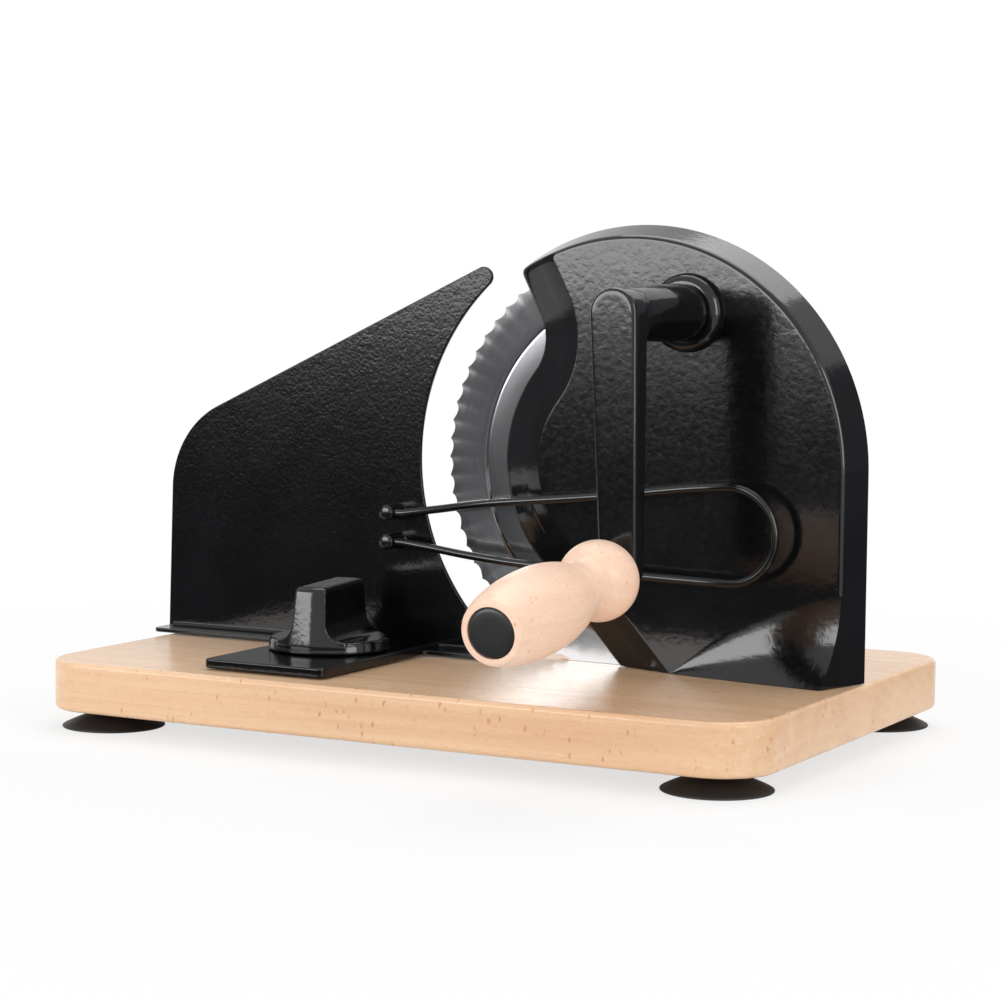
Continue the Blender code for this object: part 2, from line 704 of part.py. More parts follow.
def make_flare():
    """The foot's cone-shaped cove, which grows from nothing at the face's lower left corner."""
    floor = HOUSING_BASE_Z - BLADE_Z
    inset = (HOUSING_BACK_Y - HOUSING_FACE_Y) * HOUSING_DRAFT
    face = housing_outline(inset, CUT_BEVEL, floor)
    apex = Vector((min(x for x, z in face if z < HOUSING_BASE_Z + GAP), HOUSING_FACE_Y,
                   HOUSING_BASE_Z))
    radius = (FLARE_DEPTH ** 2 + FLARE_HEIGHT ** 2) / (2 * FLARE_DEPTH)
    sweep = math.asin(FLARE_HEIGHT / radius)
    cove = [(radius * (math.cos(a) - 1), FLARE_HEIGHT - radius * math.sin(a))
            for a in (sweep * i / 8 for i in range(9))]
    section = [(HOUSING_WALL / 2, FLARE_HEIGHT)] + cove + [(HOUSING_WALL / 2, 0.0)]
    full = (BLADE_X + HOUSING_RADIUS - apex.x) / FLARE_REACH
    rings = [[apex + Vector((FLARE_REACH * t, y * t, z * t)) for y, z in section]
             for t in (0.01, full)]
    flare = loft("housing_flare", rings, cutters)
    bm = bmesh.new()
    bm.from_mesh(flare.data)
    wall_point = (BLADE_X + HOUSING_RADIUS, HOUSING_BACK_Y, 0)
    geometry = bm.verts[:] + bm.edges[:] + bm.faces[:]
    result = bmesh.ops.bisect_plane(bm, geom=geometry, plane_co=wall_point, clear_outer=True,
                                    plane_no=(1, -HOUSING_DRAFT, 0))
    edges = [e for e in result["geom_cut"] if isinstance(e, bmesh.types.BMEdge)]
    bmesh.ops.holes_fill(bm, edges=edges, sides=0)
    bmesh.ops.recalc_face_normals(bm, faces=bm.faces)
    bm.to_mesh(flare.data)
    bm.free()
    return flare


def make_housing():
    floor = HOUSING_BASE_Z - BLADE_Z
    depth = HOUSING_BACK_Y - HOUSING_FACE_Y
    lean = HOUSING_DRAFT
    bevel_depth = CUT_Y - HOUSING_FACE_Y
    slope = CUT_BEVEL / bevel_depth
    rings = [ring_at(housing_outline(0.0, 0.0, floor), HOUSING_BACK_Y),
             ring_at(housing_outline((HOUSING_BACK_Y - CUT_Y) * lean, 0.0, floor), CUT_Y)]
    for back, extra in ((FACE_ROUNDING, 0.0), (FACE_ROUNDING * 0.3, FACE_ROUNDING * 0.3),
                        (0.0, FACE_ROUNDING)):
        inset = (depth - back) * lean + extra
        rings.append(ring_at(housing_outline(inset, CUT_BEVEL - back * slope + extra, floor),
                             HOUSING_FACE_Y + back))
    housing = loft("housing", rings, parts)
    cavity_edge = HOUSING_WALL * 1.35
    hollow = [ring_at(housing_outline(HOUSING_WALL - PAST * lean, cavity_edge,
                                      floor + HOUSING_FLOOR), HOUSING_BACK_Y + PAST),
              ring_at(housing_outline((HOUSING_BACK_Y - CUT_Y) * lean + HOUSING_WALL, cavity_edge,
                                      floor + HOUSING_FLOOR), CUT_Y),
              ring_at(housing_outline((HOUSING_BACK_Y - FACE_INNER_Y) * lean + HOUSING_WALL,
                                      (CUT_Y - FACE_INNER_Y) * slope + cavity_edge,
                                      floor + HOUSING_FLOOR), FACE_INNER_Y)]
    join(housing, make_flare())
    cut(housing, loft("housing_hollow", hollow, cutters))
    blade_boss = cylinder("blade_boss", BOSS_RADIUS, (BLADE_X, FACE_INNER_Y - PAST, BLADE_Z),
                          (BLADE_X, GEAR_FRONT_Y - GAP, BLADE_Z), ROUND, cutters)
    crank_boss = cylinder("crank_boss", BOSS_RADIUS, (CRANK_X, FACE_INNER_Y - PAST, CRANK_Z),
                          (CRANK_X, GEAR_FRONT_Y - GAP, CRANK_Z), ROUND, cutters)
    shoulder = [(COLLAR_RADIUS - COLLAR_SHOULDER + x, COLLAR_FRONT_Y + COLLAR_SHOULDER - y)
                for x, y in arc(COLLAR_SHOULDER, math.pi / 2, 0.0, 5)]
    collar = turned_along_y("crank_collar", [(0.0, COLLAR_FRONT_Y)] + shoulder
                            + [(COLLAR_RADIUS, FACE_INNER_Y - PAST), (0.0, FACE_INNER_Y - PAST)],
                            ROUND, cutters)
    collar.location = (CRANK_X, 0, CRANK_Z)
    join(housing, blade_boss, crank_boss, collar)
    for i, (x, y) in enumerate(housing_screw_places()):
        join(housing, cylinder(f"foot_boss_{i}", FOOT_BOSS_RADIUS,
                               (x, y, HOUSING_BASE_Z + HOUSING_FLOOR / 2),
                               (x, y, HOUSING_BASE_Z + FOOT_BOSS_HEIGHT), SMALL_ROUND, cutters))
    cut(housing, cylinder("blade_clearance", BLADE_RADIUS + BLADE_ROOM, (BLADE_X, CUT_Y, BLADE_Z),
                          (BLADE_X, HOUSING_BACK_Y + PAST, BLADE_Z), LARGE_ROUND, cutters),
        cylinder("axle_bore", AXLE_RADIUS + GAP,
                 (BLADE_X, HOUSING_FACE_Y + HOUSING_WALL / 2, BLADE_Z),
                 (BLADE_X, GEAR_FRONT_Y, BLADE_Z), ROUND, cutters),
        cylinder("crank_bore", SHAFT_RADIUS + CRANK_BUSH_WALL + 2 * GAP,
                 (CRANK_X, COLLAR_FRONT_Y - PAST, CRANK_Z),
                 (CRANK_X, GEAR_FRONT_Y, CRANK_Z), ROUND, cutters))
    for i, (x, y) in enumerate(housing_screw_places()):
        cut(housing, cylinder(f"foot_thread_{i}", HOUSING_SCREW_RADIUS + GAP,
                              (x, y, HOUSING_BASE_Z - PAST),
                              (x, y, BOARD_TOP + HOUSING_SCREW_GRIP), SMALL_ROUND, cutters))
    return finish(housing, black_cast)


# Blade and gears

def tooth_ring(y):
    count = BLADE_TEETH * TOOTH_POINTS
    points = []
    for i in range(count):
        part = (i % TOOTH_POINTS) / TOOTH_POINTS
        radius = BLADE_RADIUS - TOOTH_DEPTH * math.sin(math.pi * part)
        x, z = polar(radius, 2 * math.pi * i / count)
        points.append((x, y, z))
    return points


def round_ring(radius, y):
    return [(x, y, z) for x, z in circle(radius, BLADE_TEETH)]


def blade_screw_places():
    return [polar(BLADE_SCREW_CIRCLE, 2 * math.pi * (i + 0.25) / BLADE_SCREWS)
            for i in range(BLADE_SCREWS)]


def make_blade(axis):
    bore = AXLE_RADIUS + GAP + BUSH_WALL + GAP
    blade = loft_ring("blade", [
        round_ring(bore, DISC_FRONT_Y), round_ring(DISH_RADIUS - DISH_SLOPE, DISC_FRONT_Y),
        round_ring(DISH_RADIUS, RIM_FRONT_Y), tooth_ring(BLADE_BACK_Y - BLADE_EDGE),
        tooth_ring(BLADE_BACK_Y), round_ring(DISH_RADIUS + BLADE_THICKNESS / 2, BLADE_BACK_Y),
        round_ring(DISH_RADIUS - DISH_SLOPE + BLADE_THICKNESS / 2, DISC_BACK_Y),
        round_ring(bore, DISC_BACK_Y)], parts)
    for i, (x, z) in enumerate(blade_screw_places()):
        cut(blade, child_of(cylinder(f"blade_hole_{i}", BLADE_SCREW_RADIUS + GAP,
                                     (x, DISC_FRONT_Y - PAST, z), (x, DISC_BACK_Y + PAST, z),
                                     SMALL_ROUND, cutters), axis))
    return finish(blade, bright_steel, axis)


def gear_outline(teeth, bearing):
    """Involute gear, with a tooth's middle on the bearing."""
    pitch = GEAR_MODULE * teeth / 2
    base = pitch * math.cos(PRESSURE_ANGLE)
    tip = pitch + GEAR_MODULE * 0.95
    root = pitch - GEAR_MODULE * 1.2

    def half_angle(radius):
        angle = math.acos(min(1.0, base / max(radius, base)))
        involute = math.tan(PRESSURE_ANGLE) - PRESSURE_ANGLE
        return (math.pi / (2 * teeth) - BACKLASH / (2 * pitch) + involute
                - (math.tan(angle) - angle))

    points = []
    for i in range(teeth):
        middle = bearing + 2 * math.pi * i / teeth
        flank = [(root, half_angle(root)), (pitch, half_angle(pitch)), (tip, half_angle(tip))]
        points += [polar(r, middle - a) for r, a in flank]
        points += [polar(r, middle + a) for r, a in reversed(flank)]
    return points


def make_blade_drive(axis):
    bore = circle(AXLE_RADIUS + GAP + BUSH_WALL + GAP, ROUND)
    gear = upright_plate("blade_gear", [gear_outline(GEAR_TEETH, GEAR_BEARING), bore],
                         GEAR_FRONT_Y, GEAR_BACK_Y, parts)
    for i, (x, z) in enumerate(blade_screw_places()):
        cut(gear, child_of(cylinder(f"gear_hole_{i}", BLADE_SCREW_RADIUS + GAP,
                                    (x, GEAR_FRONT_Y + BLADE_SCREW_FLOOR, z),
                                    (x, GEAR_BACK_Y + PAST, z), SMALL_ROUND, cutters), axis))
    finish(gear, gear_plastic, axis)
    bush = turned_along_y("blade_bush", ring_profile(AXLE_RADIUS + GAP,
                                                     AXLE_RADIUS + GAP + BUSH_WALL,
                                                     GEAR_FRONT_Y, DISC_BACK_Y),
                          ROUND, parts, closed=True)
    finish(bush, bronze, axis)
    tip = -GEAR_FRONT_Y - BLADE_SCREW_FLOOR - GAP
    profile = screw_profile(BLADE_SCREW_RADIUS, BLADE_SCREW_HEAD, tip, -DISC_BACK_Y - GAP,
                            BLADE_SCREW_HEAD_HEIGHT)
    screw_set("blade_screw", profile, [(x, 0, z) for x, z in blade_screw_places()], steel, axis,
              FACING_FRONT)


def make_blade_bearing():
    place = (BLADE_X, 0, BLADE_Z)
    front = HOUSING_FACE_Y + HOUSING_WALL / 2 + GAP
    hole = AXLE_SCREW_RADIUS + GAP
    deep = DISC_BACK_Y - AXLE_SCREW_LENGTH
    axle = turned_along_y("blade_axle", [(0.0, front), (AXLE_RADIUS, front),
                                         (AXLE_RADIUS, DISC_BACK_Y), (hole, DISC_BACK_Y),
                                         (hole, deep), (0.0, deep)], ROUND, parts)
    axle.location = place
    finish(axle, steel)
    seat = DISC_BACK_Y + GAP
    washer = turned_along_y("axle_washer", ring_profile(hole, WASHER_RADIUS, seat,
                                                        seat + WASHER_THICKNESS),
                            ROUND, parts, closed=True)
    washer.location = place
    finish(washer, steel)
    profile = screw_profile(AXLE_SCREW_RADIUS, AXLE_SCREW_HEAD, -deep - GAP,
                            -seat - WASHER_THICKNESS - GAP, AXLE_SCREW_HEAD_HEIGHT)
    screw_set("axle_screw", profile, [place], steel, None, FACING_FRONT)


# Crank and handle

def arm_outline():
    """Tapered bar from the hub's round end down to the handle's."""
    lean = math.asin((ARM_TOP_RADIUS - ARM_END_RADIUS) / CRANK_THROW)
    top = arc(ARM_TOP_RADIUS, -lean, math.pi + lean, 12)
    end = arc(ARM_END_RADIUS, math.pi + lean, 2 * math.pi - lean, 10, (0.0, -CRANK_THROW))
    return top + end


def handle_cutter(name, radius, start, end, handle_axis, sides=SMALL_ROUND):
    """Cylinder along the handle's axis, placed by distance from the arm's front face."""
    return child_of(cylinder(name, radius, (0, -start, 0), (0, -end, 0), sides, cutters),
                    handle_axis)


def make_crank(axis, handle_axis):
    thinning = (ARM_TOP_THICKNESS - ARM_END_THICKNESS) / CRANK_THROW
    outline = arm_outline()
    arm = loft("crank", [ring_at(outline, ARM_FRONT_Y),
                         [(x, ARM_FRONT_Y + ARM_TOP_THICKNESS + z * thinning, z)
                          for x, z in outline]], parts)
    hub_back = COLLAR_FRONT_Y - GAP
    hub = cylinder("crank_hub", HUB_RADIUS, (0, ARM_FRONT_Y + ARM_TOP_THICKNESS / 2, 0),
                   (0, hub_back, 0), ROUND, cutters)
    corner = (ARM_FRONT_Y + ARM_TOP_THICKNESS, -HUB_RADIUS + 2 * GAP)
    hollow = arc(GUSSET_SIZE, math.pi, math.pi / 2, 6,
                 (corner[0] + GUSSET_SIZE, corner[1] - GUSSET_SIZE))
    inside = (corner[0] - GUSSET_SIZE / 2, corner[1] + GUSSET_SIZE / 2)
    gusset = along_x_plate("crank_gusset",
                           [(inside[0], hollow[0][1])] + hollow + [(hollow[-1][0], inside[1]),
                                                                   inside],
                           -GUSSET_WIDTH / 2, GUSSET_WIDTH / 2, cutters)
    for piece in (hub, gusset):
        child_of(piece, axis)
    join(arm, hub, gusset)
    cut(arm, child_of(cylinder("hub_bore", SHAFT_RADIUS + GAP, (0, hub_back - SHAFT_GRIP - GAP, 0),
                               (0, hub_back + PAST, 0), ROUND, cutters), axis),
        handle_cutter("bolt_thread", BOLT_RADIUS + GAP, -BOLT_IN_ARM, 3 * PAST, handle_axis))
    finish(arm, black_cast, axis)
    shaft = cylinder("crank_shaft", SHAFT_RADIUS, (0, hub_back - SHAFT_GRIP, 0),
                     (0, GEAR_BACK_Y, 0), ROUND, parts)
    finish(shaft, steel, axis)
    bearing = GEAR_BEARING + math.pi + math.pi / PINION_TEETH - CRANK_LEAN
    pinion = upright_plate("crank_pinion", [gear_outline(PINION_TEETH, bearing),
                                            circle(SHAFT_RADIUS + GAP, ROUND)],
                           GEAR_FRONT_Y, GEAR_BACK_Y, parts)
    finish(pinion, gear_plastic, axis)
    bush = turned_along_y("crank_bush", ring_profile(SHAFT_RADIUS + GAP,
                                                     SHAFT_RADIUS + GAP + CRANK_BUSH_WALL,
                                                     COLLAR_FRONT_Y, GEAR_FRONT_Y - GAP),
                          ROUND, parts, closed=True)
    bush.location = (CRANK_X, 0, CRANK_Z)
    finish(bush, bronze)


def grip_profile(seat):
    """Land, ball, neck and grip as (radius, distance) from the arm's side to the free end."""
    centre = HANDLE_START + BALL_LAND + math.sqrt(BALL_RADIUS ** 2 - seat ** 2)
    first = math.pi - math.asin(seat / BALL_RADIUS)
    last = math.asin((GRIP_SHAPE[0][1] + NECK_BLEND) / BALL_RADIUS)
    ball = [(r, centre + s) for s, r in arc(BALL_RADIUS, first, last, BALL_STEPS)]
    grip = [(p.y, p.x) for p in smooth_through(GRIP_SHAPE, GRIP_STEPS)]
    end_radius = GRIP_SHAPE[-1][1]
    return ([(seat, HANDLE_START)] + ball + grip
            + [(end_radius - GRIP_END_ROUNDING, HANDLE_END)])


def make_handle(handle_axis):
    bore = BOLT_RADIUS + GAP
    bush_hole = bore + HANDLE_BUSH_WALL + GAP
    bush_end = HANDLE_START + HANDLE_BUSH_LENGTH
    head_seat = BOLT_LENGTH - BOLT_HEAD_HEIGHT - GAP
    plug_seat = HANDLE_END - PLUG_THICKNESS - GAP
    outer = grip_profile(bush_hole + BALL_SEAT_WALL)
    inner = [(PLUG_RADIUS + GAP, HANDLE_END), (PLUG_RADIUS + GAP, plug_seat),
             (BOLT_HEAD_RADIUS + GAP * 2, plug_seat), (BOLT_HEAD_RADIUS + GAP * 2, head_seat),
             (bore, head_seat), (bore, bush_end), (bush_hole, bush_end),
             (bush_hole, HANDLE_START)]
    grip = turned_along_y("handle_grip", [(r, -s) for r, s in reversed(inner + outer)], ROUND,
                          parts, closed=True)
    finish(grip, beech_turned, handle_axis)
    bush = turned_along_y("handle_bush", ring_profile(bore, bush_hole - GAP, -bush_end + GAP,
                                                      -HANDLE_START), SMALL_ROUND, parts,
                          closed=True)
    finish(bush, bronze, handle_axis)
    head_back = -BOLT_LENGTH + BOLT_HEAD_HEIGHT
    bolt = turned_along_y("handle_bolt", [(0.0, -BOLT_LENGTH), (BOLT_HEAD_RADIUS * 0.8,
                                                                -BOLT_LENGTH),
                                          (BOLT_HEAD_RADIUS, -BOLT_LENGTH + 0.001),
                                          (BOLT_HEAD_RADIUS, head_back), (BOLT_RADIUS, head_back),
                                          (BOLT_RADIUS, BOLT_IN_ARM - GAP),
                                          (0.0, BOLT_IN_ARM - GAP)], SMALL_ROUND, parts)
    finish(bolt, steel, handle_axis)
    plug = turned_along_y("handle_plug", [(0.0, -HANDLE_END - 0.0002),
                                          (PLUG_RADIUS - 0.001, -HANDLE_END),
                                          (PLUG_RADIUS, -HANDLE_END + 0.0008),
                                          (PLUG_RADIUS, -plug_seat - GAP),
                                          (0.0, -plug_seat - GAP)], ROUND, parts)
    finish(plug, black_plastic, handle_axis)


# Stop plate and wire guard

def plate_outline():
    """Upright sheet in X-Z: left edge, round corner, slanted top, tip and the blade's arc."""
    low = BOARD_TOP + SHEET_FLOAT + SHEET / 2
    corner_z = BOARD_TOP + PLATE_SLOPE_RISE
    turn = math.pi / 2 - PLATE_SLOPE
    back = PLATE_CORNER * math.tan(turn / 2)
    corner_centre = (PLATE_LEFT + PLATE_CORNER, corner_z - back)
    corner = arc(PLATE_CORNER, math.pi, math.pi - turn, 8, corner_centre)
    tip_z = BOARD_TOP + PLATE_TIP_HEIGHT
    arc_reach = PLATE_ARC_RADIUS + PLATE_TIP_RADIUS
    tip_centre = (BLADE_X - math.sqrt(arc_reach ** 2 - (tip_z - BLADE_Z) ** 2), tip_z)
    tip_bearing = math.atan2(tip_centre[1] - BLADE_Z, tip_centre[0] - BLADE_X)
    tip = arc(PLATE_TIP_RADIUS, math.pi / 2 + PLATE_SLOPE, tip_bearing - math.pi, 8, tip_centre)
    last = math.pi + math.acos((BLADE_X - PLATE_RIGHT) / PLATE_ARC_RADIUS)
    sweep = arc(PLATE_ARC_RADIUS, tip_bearing, last, 24, (BLADE_X, BLADE_Z))[1:]
    return [(PLATE_LEFT, low)] + corner + tip + sweep + [(PLATE_RIGHT, low)]


def front_rounded(left, right, front, back, radius):
    """Outline from above with rounded front corners and square back ones."""
    quarter = math.pi / 2
    return (arc(radius, 2 * quarter, 3 * quarter, 4, (left + radius, front + radius))
            + arc(radius, 3 * quarter, 4 * quarter, 4, (right - radius, front + radius))
            + [(right, back), (left, back)])


def corner_fillet(side):
    """Outline of the fillet between the lip and one side of the tongue."""
    corner = (KNOB_X + side * TONGUE_WIDTH / 2, LIP_FRONT_Y)
    reach = TONGUE_CORNER - SINK
    curve = arc(TONGUE_CORNER, math.pi / 2, 0.0, 4, (-reach, -reach))
    sunk = [(2 * SINK, curve[-1][1]), (2 * SINK, 2 * SINK), (curve[0][0], 2 * SINK)]
    return [(corner[0] - side * x, corner[1] + y) for x, y in curve + sunk]


def make_stop_plate(carriage):
    low = BOARD_TOP + SHEET_FLOAT
    middle_y = PLATE_FRONT_Y + SHEET / 2
    plate = upright_plate("stop_plate", [plate_outline()], PLATE_FRONT_Y, PLATE_FRONT_Y + SHEET,
                          parts)
    lip = flat_plate("plate_lip", [front_rounded(LIP_LEFT, PLATE_RIGHT + SINK, LIP_FRONT_Y,
                                                 PLATE_FRONT_Y + SHEET + SINK, LIP_CORNER)],
                     low, low + SHEET, cutters)
    tongue = flat_plate("plate_tongue", [front_rounded(KNOB_X - TONGUE_WIDTH / 2,
                                                       KNOB_X + TONGUE_WIDTH / 2, TONGUE_FRONT_Y,
                                                       middle_y, TONGUE_CORNER)],
                        low, low + DECK, cutters)
    inner_z = low + SHEET
    bend = arc(BEND_RADIUS, 0.0, -math.pi / 2, 5,
               (PLATE_FRONT_Y - BEND_RADIUS + SINK, inner_z + BEND_RADIUS - SINK))
    middle_z = low + SHEET / 2
    fillet = along_x_plate("plate_bend", bend + [(bend[-1][0], middle_z), (middle_y, middle_z),
                                                 (middle_y, bend[0][1])],
                           PLATE_LEFT + SHEET / 2, PLATE_RIGHT - SHEET, cutters)
    spindle_hole = cylinder("deck_hole", SPINDLE_RADIUS + GAP, (KNOB_X, KNOB_Y, low - PAST),
                            (KNOB_X, KNOB_Y, low + DECK + PAST), SMALL_ROUND, cutters)
    corners = [flat_plate(f"lip_corner_{side}", [corner_fillet(side)], low, low + SHEET, cutters)
               for side in (-1, 1)]
    for piece in (lip, tongue, fillet, spindle_hole, *corners):
        child_of(piece, carriage)
    join(plate, lip, tongue, fillet, *corners)
    cut(plate, spindle_hole)
    for i, y in enumerate(block_screw_ys()):
        cut(plate, child_of(cylinder(f"deck_thread_{i}", BLOCK_SCREW_RADIUS + GAP,
                                     (KNOB_X, y, low - PAST), (KNOB_X, y, low + TONGUE_THREAD),
                                     SMALL_ROUND, cutters), carriage))
    finish(plate, black_cast, carriage)


def wire_points():
    """Lower leg, round loop and upper leg, from post to post."""
    lower, upper = POST_HEIGHTS

    def place(x, height):
        part = min(1.0, (x - POST_X) / (WIRE_SWAY_X - POST_X))
        y = POST_WIRE_Y + (WIRE_Y - POST_WIRE_Y) * (3 * part ** 2 - 2 * part ** 3)
        return (x, y, BOARD_TOP + height)

    straight = POST_X + 2 * POST_RADIUS
    start = POST_X + WIRE_RADIUS / 2
    lower_leg = smooth_through([(straight, lower), *LOWER_BENDS,
                                (LOOP_X - 0.001, LOOP_HEIGHT - LOOP_RADIUS)], WIRE_LEG_STEPS)
    upper_leg = smooth_through([(LOOP_X - 0.001, LOOP_HEIGHT + LOOP_RADIUS), *UPPER_BENDS,
                                (straight, upper)], WIRE_LEG_STEPS)
    loop = arc(LOOP_RADIUS, -math.pi / 2, math.pi / 2, WIRE_LOOP_STEPS, (LOOP_X, LOOP_HEIGHT))
    return [place(*p) for p in [(start, lower), *lower_leg, *loop, *upper_leg, (start, upper)]]


def make_wire_guard(carriage):
    guard = wire("wire_guard", wire_points(), WIRE_RADIUS, parts)
    finish(guard, black_cast, carriage)
    back = PLATE_FRONT_Y - GAP
    front = back - POST_LENGTH
    for name, height in zip(("guard_post_lower", "guard_post_upper"), POST_HEIGHTS):
        post = turned_along_y(name, [(0.0, front), (POST_RADIUS * 0.7, front + 0.0003),
                                     (POST_RADIUS, front + 0.0014), (POST_RADIUS, back),
                                     (0.0, back)], SMALL_ROUND, parts)
        place = (POST_X, 0, BOARD_TOP + height)
        post.location = place
        hole = cylinder(name + "_hole", WIRE_RADIUS + GAP, (POST_X, POST_WIRE_Y, place[2]),
                        (POST_X + 0.01, POST_WIRE_Y, place[2]), SMALL_ROUND, cutters)
        cut(post, child_of(hole, carriage))
        finish(post, black_cast, carriage)


# Knob, cam and guide

def block_screw_ys():
    return [KNOB_Y + side * BLOCK_SCREW_SPACING / 2 for side in (-1, 1)]


def ridge_section():
    """Cross-section of the grip ridge, with hollow fillets down to the base."""
    centre = (RIDGE_WAIST + RIDGE_FILLET, KNOB_BASE + RIDGE_FILLET)
    side = arc(RIDGE_FILLET, -math.pi / 2, -math.pi, 6, centre)
    top = [(RIDGE_TOP, KNOB_HEIGHT - 0.001), (RIDGE_TOP - 0.0008, KNOB_HEIGHT)]
    right = [(centre[0], KNOB_BASE / 2)] + side + top
    return right + [(-x, z) for x, z in reversed(right)]


def make_knob(knob_axis):
    bottom = SHEET_FLOAT + DECK + GAP
    base = turned("knob", [(0.0, KNOB_BASE), (KNOB_RADIUS - 0.0015, KNOB_BASE),
                           (KNOB_RADIUS - 0.0003, KNOB_BASE - 0.0008), (KNOB_RADIUS, 0.003),
                           (KNOB_RADIUS, 0.0), (0.0, 0.0)], KNOB_ROUND, parts)
    base.location = (0, 0, bottom)
    ridge = upright_plate("knob_ridge", [ridge_section()], -KNOB_RADIUS, KNOB_RADIUS, cutters)
    rounding = arc(KNOB_TOP_ROUNDING, math.pi / 2, KNOB_TAPER, 4,
                   (KNOB_TOP_RADIUS - KNOB_TOP_ROUNDING, KNOB_HEIGHT - KNOB_TOP_ROUNDING))
    shell = turned("knob_shell", [(0.0, KNOB_HEIGHT)] + rounding
                   + [(KNOB_RADIUS - 0.0004, KNOB_BASE + 0.001), (KNOB_RADIUS - 0.0004, 0.001),
                      (0.0, 0.001)], KNOB_ROUND, cutters)
    boolean(ridge, shell, "INTERSECT")
    hole = cylinder("knob_hole", SPINDLE_RADIUS + GAP, (0, 0, -PAST),
                    (0, 0, SPINDLE_IN_KNOB + GAP), SMALL_ROUND, cutters)
    for piece in (ridge, shell, hole):
        piece.parent = knob_axis
        piece.location = (0, 0, bottom)
    join(base, ridge)
    cut(base, hole)
    finish(base, black_cast, knob_axis)
    drop = CAM_BOTTOM_Z - BOARD_TOP
    spindle = cylinder("knob_spindle", SPINDLE_RADIUS, (0, 0, drop),
                       (0, 0, bottom + SPINDLE_IN_KNOB), SMALL_ROUND, parts)
    finish(spindle, steel, knob_axis)


def groove_outline():
    """Spiral slot that the fixed pin runs in, seen from above in the knob's frame."""
    first, last = -KNOB_SWEEP - 0.02, KNOB_SWEEP + 0.02
    half = CAM_PIN_RADIUS + GAP
    outer, inner = [], []
    for i in range(CAM_STEPS + 1):
        turn = first + (last - first) * i / CAM_STEPS
        radius = CAM_REST + CAM_PITCH * turn
        bearing = math.pi / 2 - turn
        outer.append(polar(radius + half, bearing))
        inner.append(polar(radius - half, bearing))
    start = polar(CAM_REST + CAM_PITCH * first, math.pi / 2 - first)
    end = polar(CAM_REST + CAM_PITCH * last, math.pi / 2 - last)
    start_cap = arc(half, 1.5 * math.pi - first, math.pi / 2 - first, 6, start)[1:-1]
    end_cap = arc(half, math.pi / 2 - last, -math.pi / 2 - last, 6, end)[1:-1]
    return outer + end_cap + inner[::-1] + start_cap


def make_cam(knob_axis):
    low, high = CAM_BOTTOM_Z - BOARD_TOP, CAM_TOP_Z - BOARD_TOP
    disc = flat_plate("cam_disc", [circle(CAM_RADIUS, KNOB_ROUND),
                                   circle(SPINDLE_RADIUS + GAP, SMALL_ROUND)], low, high, parts)
    groove = flat_plate("cam_groove", [groove_outline()], low - PAST, low + CAM_GROOVE, cutters)
    for piece in (disc, groove):
        piece.rotation_euler = (0, 0, -KNOB_TURNED)
    cut(disc, child_of(groove, knob_axis))
    finish(disc, steel, knob_axis)
    pin_y = KNOB_Y + CAM_REST
    pin = cylinder("cam_pin", CAM_PIN_RADIUS, (KNOB_X, pin_y, CHANNEL_BOTTOM_Z),
                   (KNOB_X, pin_y, CAM_BOTTOM_Z + CAM_GROOVE - GAP), SMALL_ROUND, parts)
    finish(pin, steel)


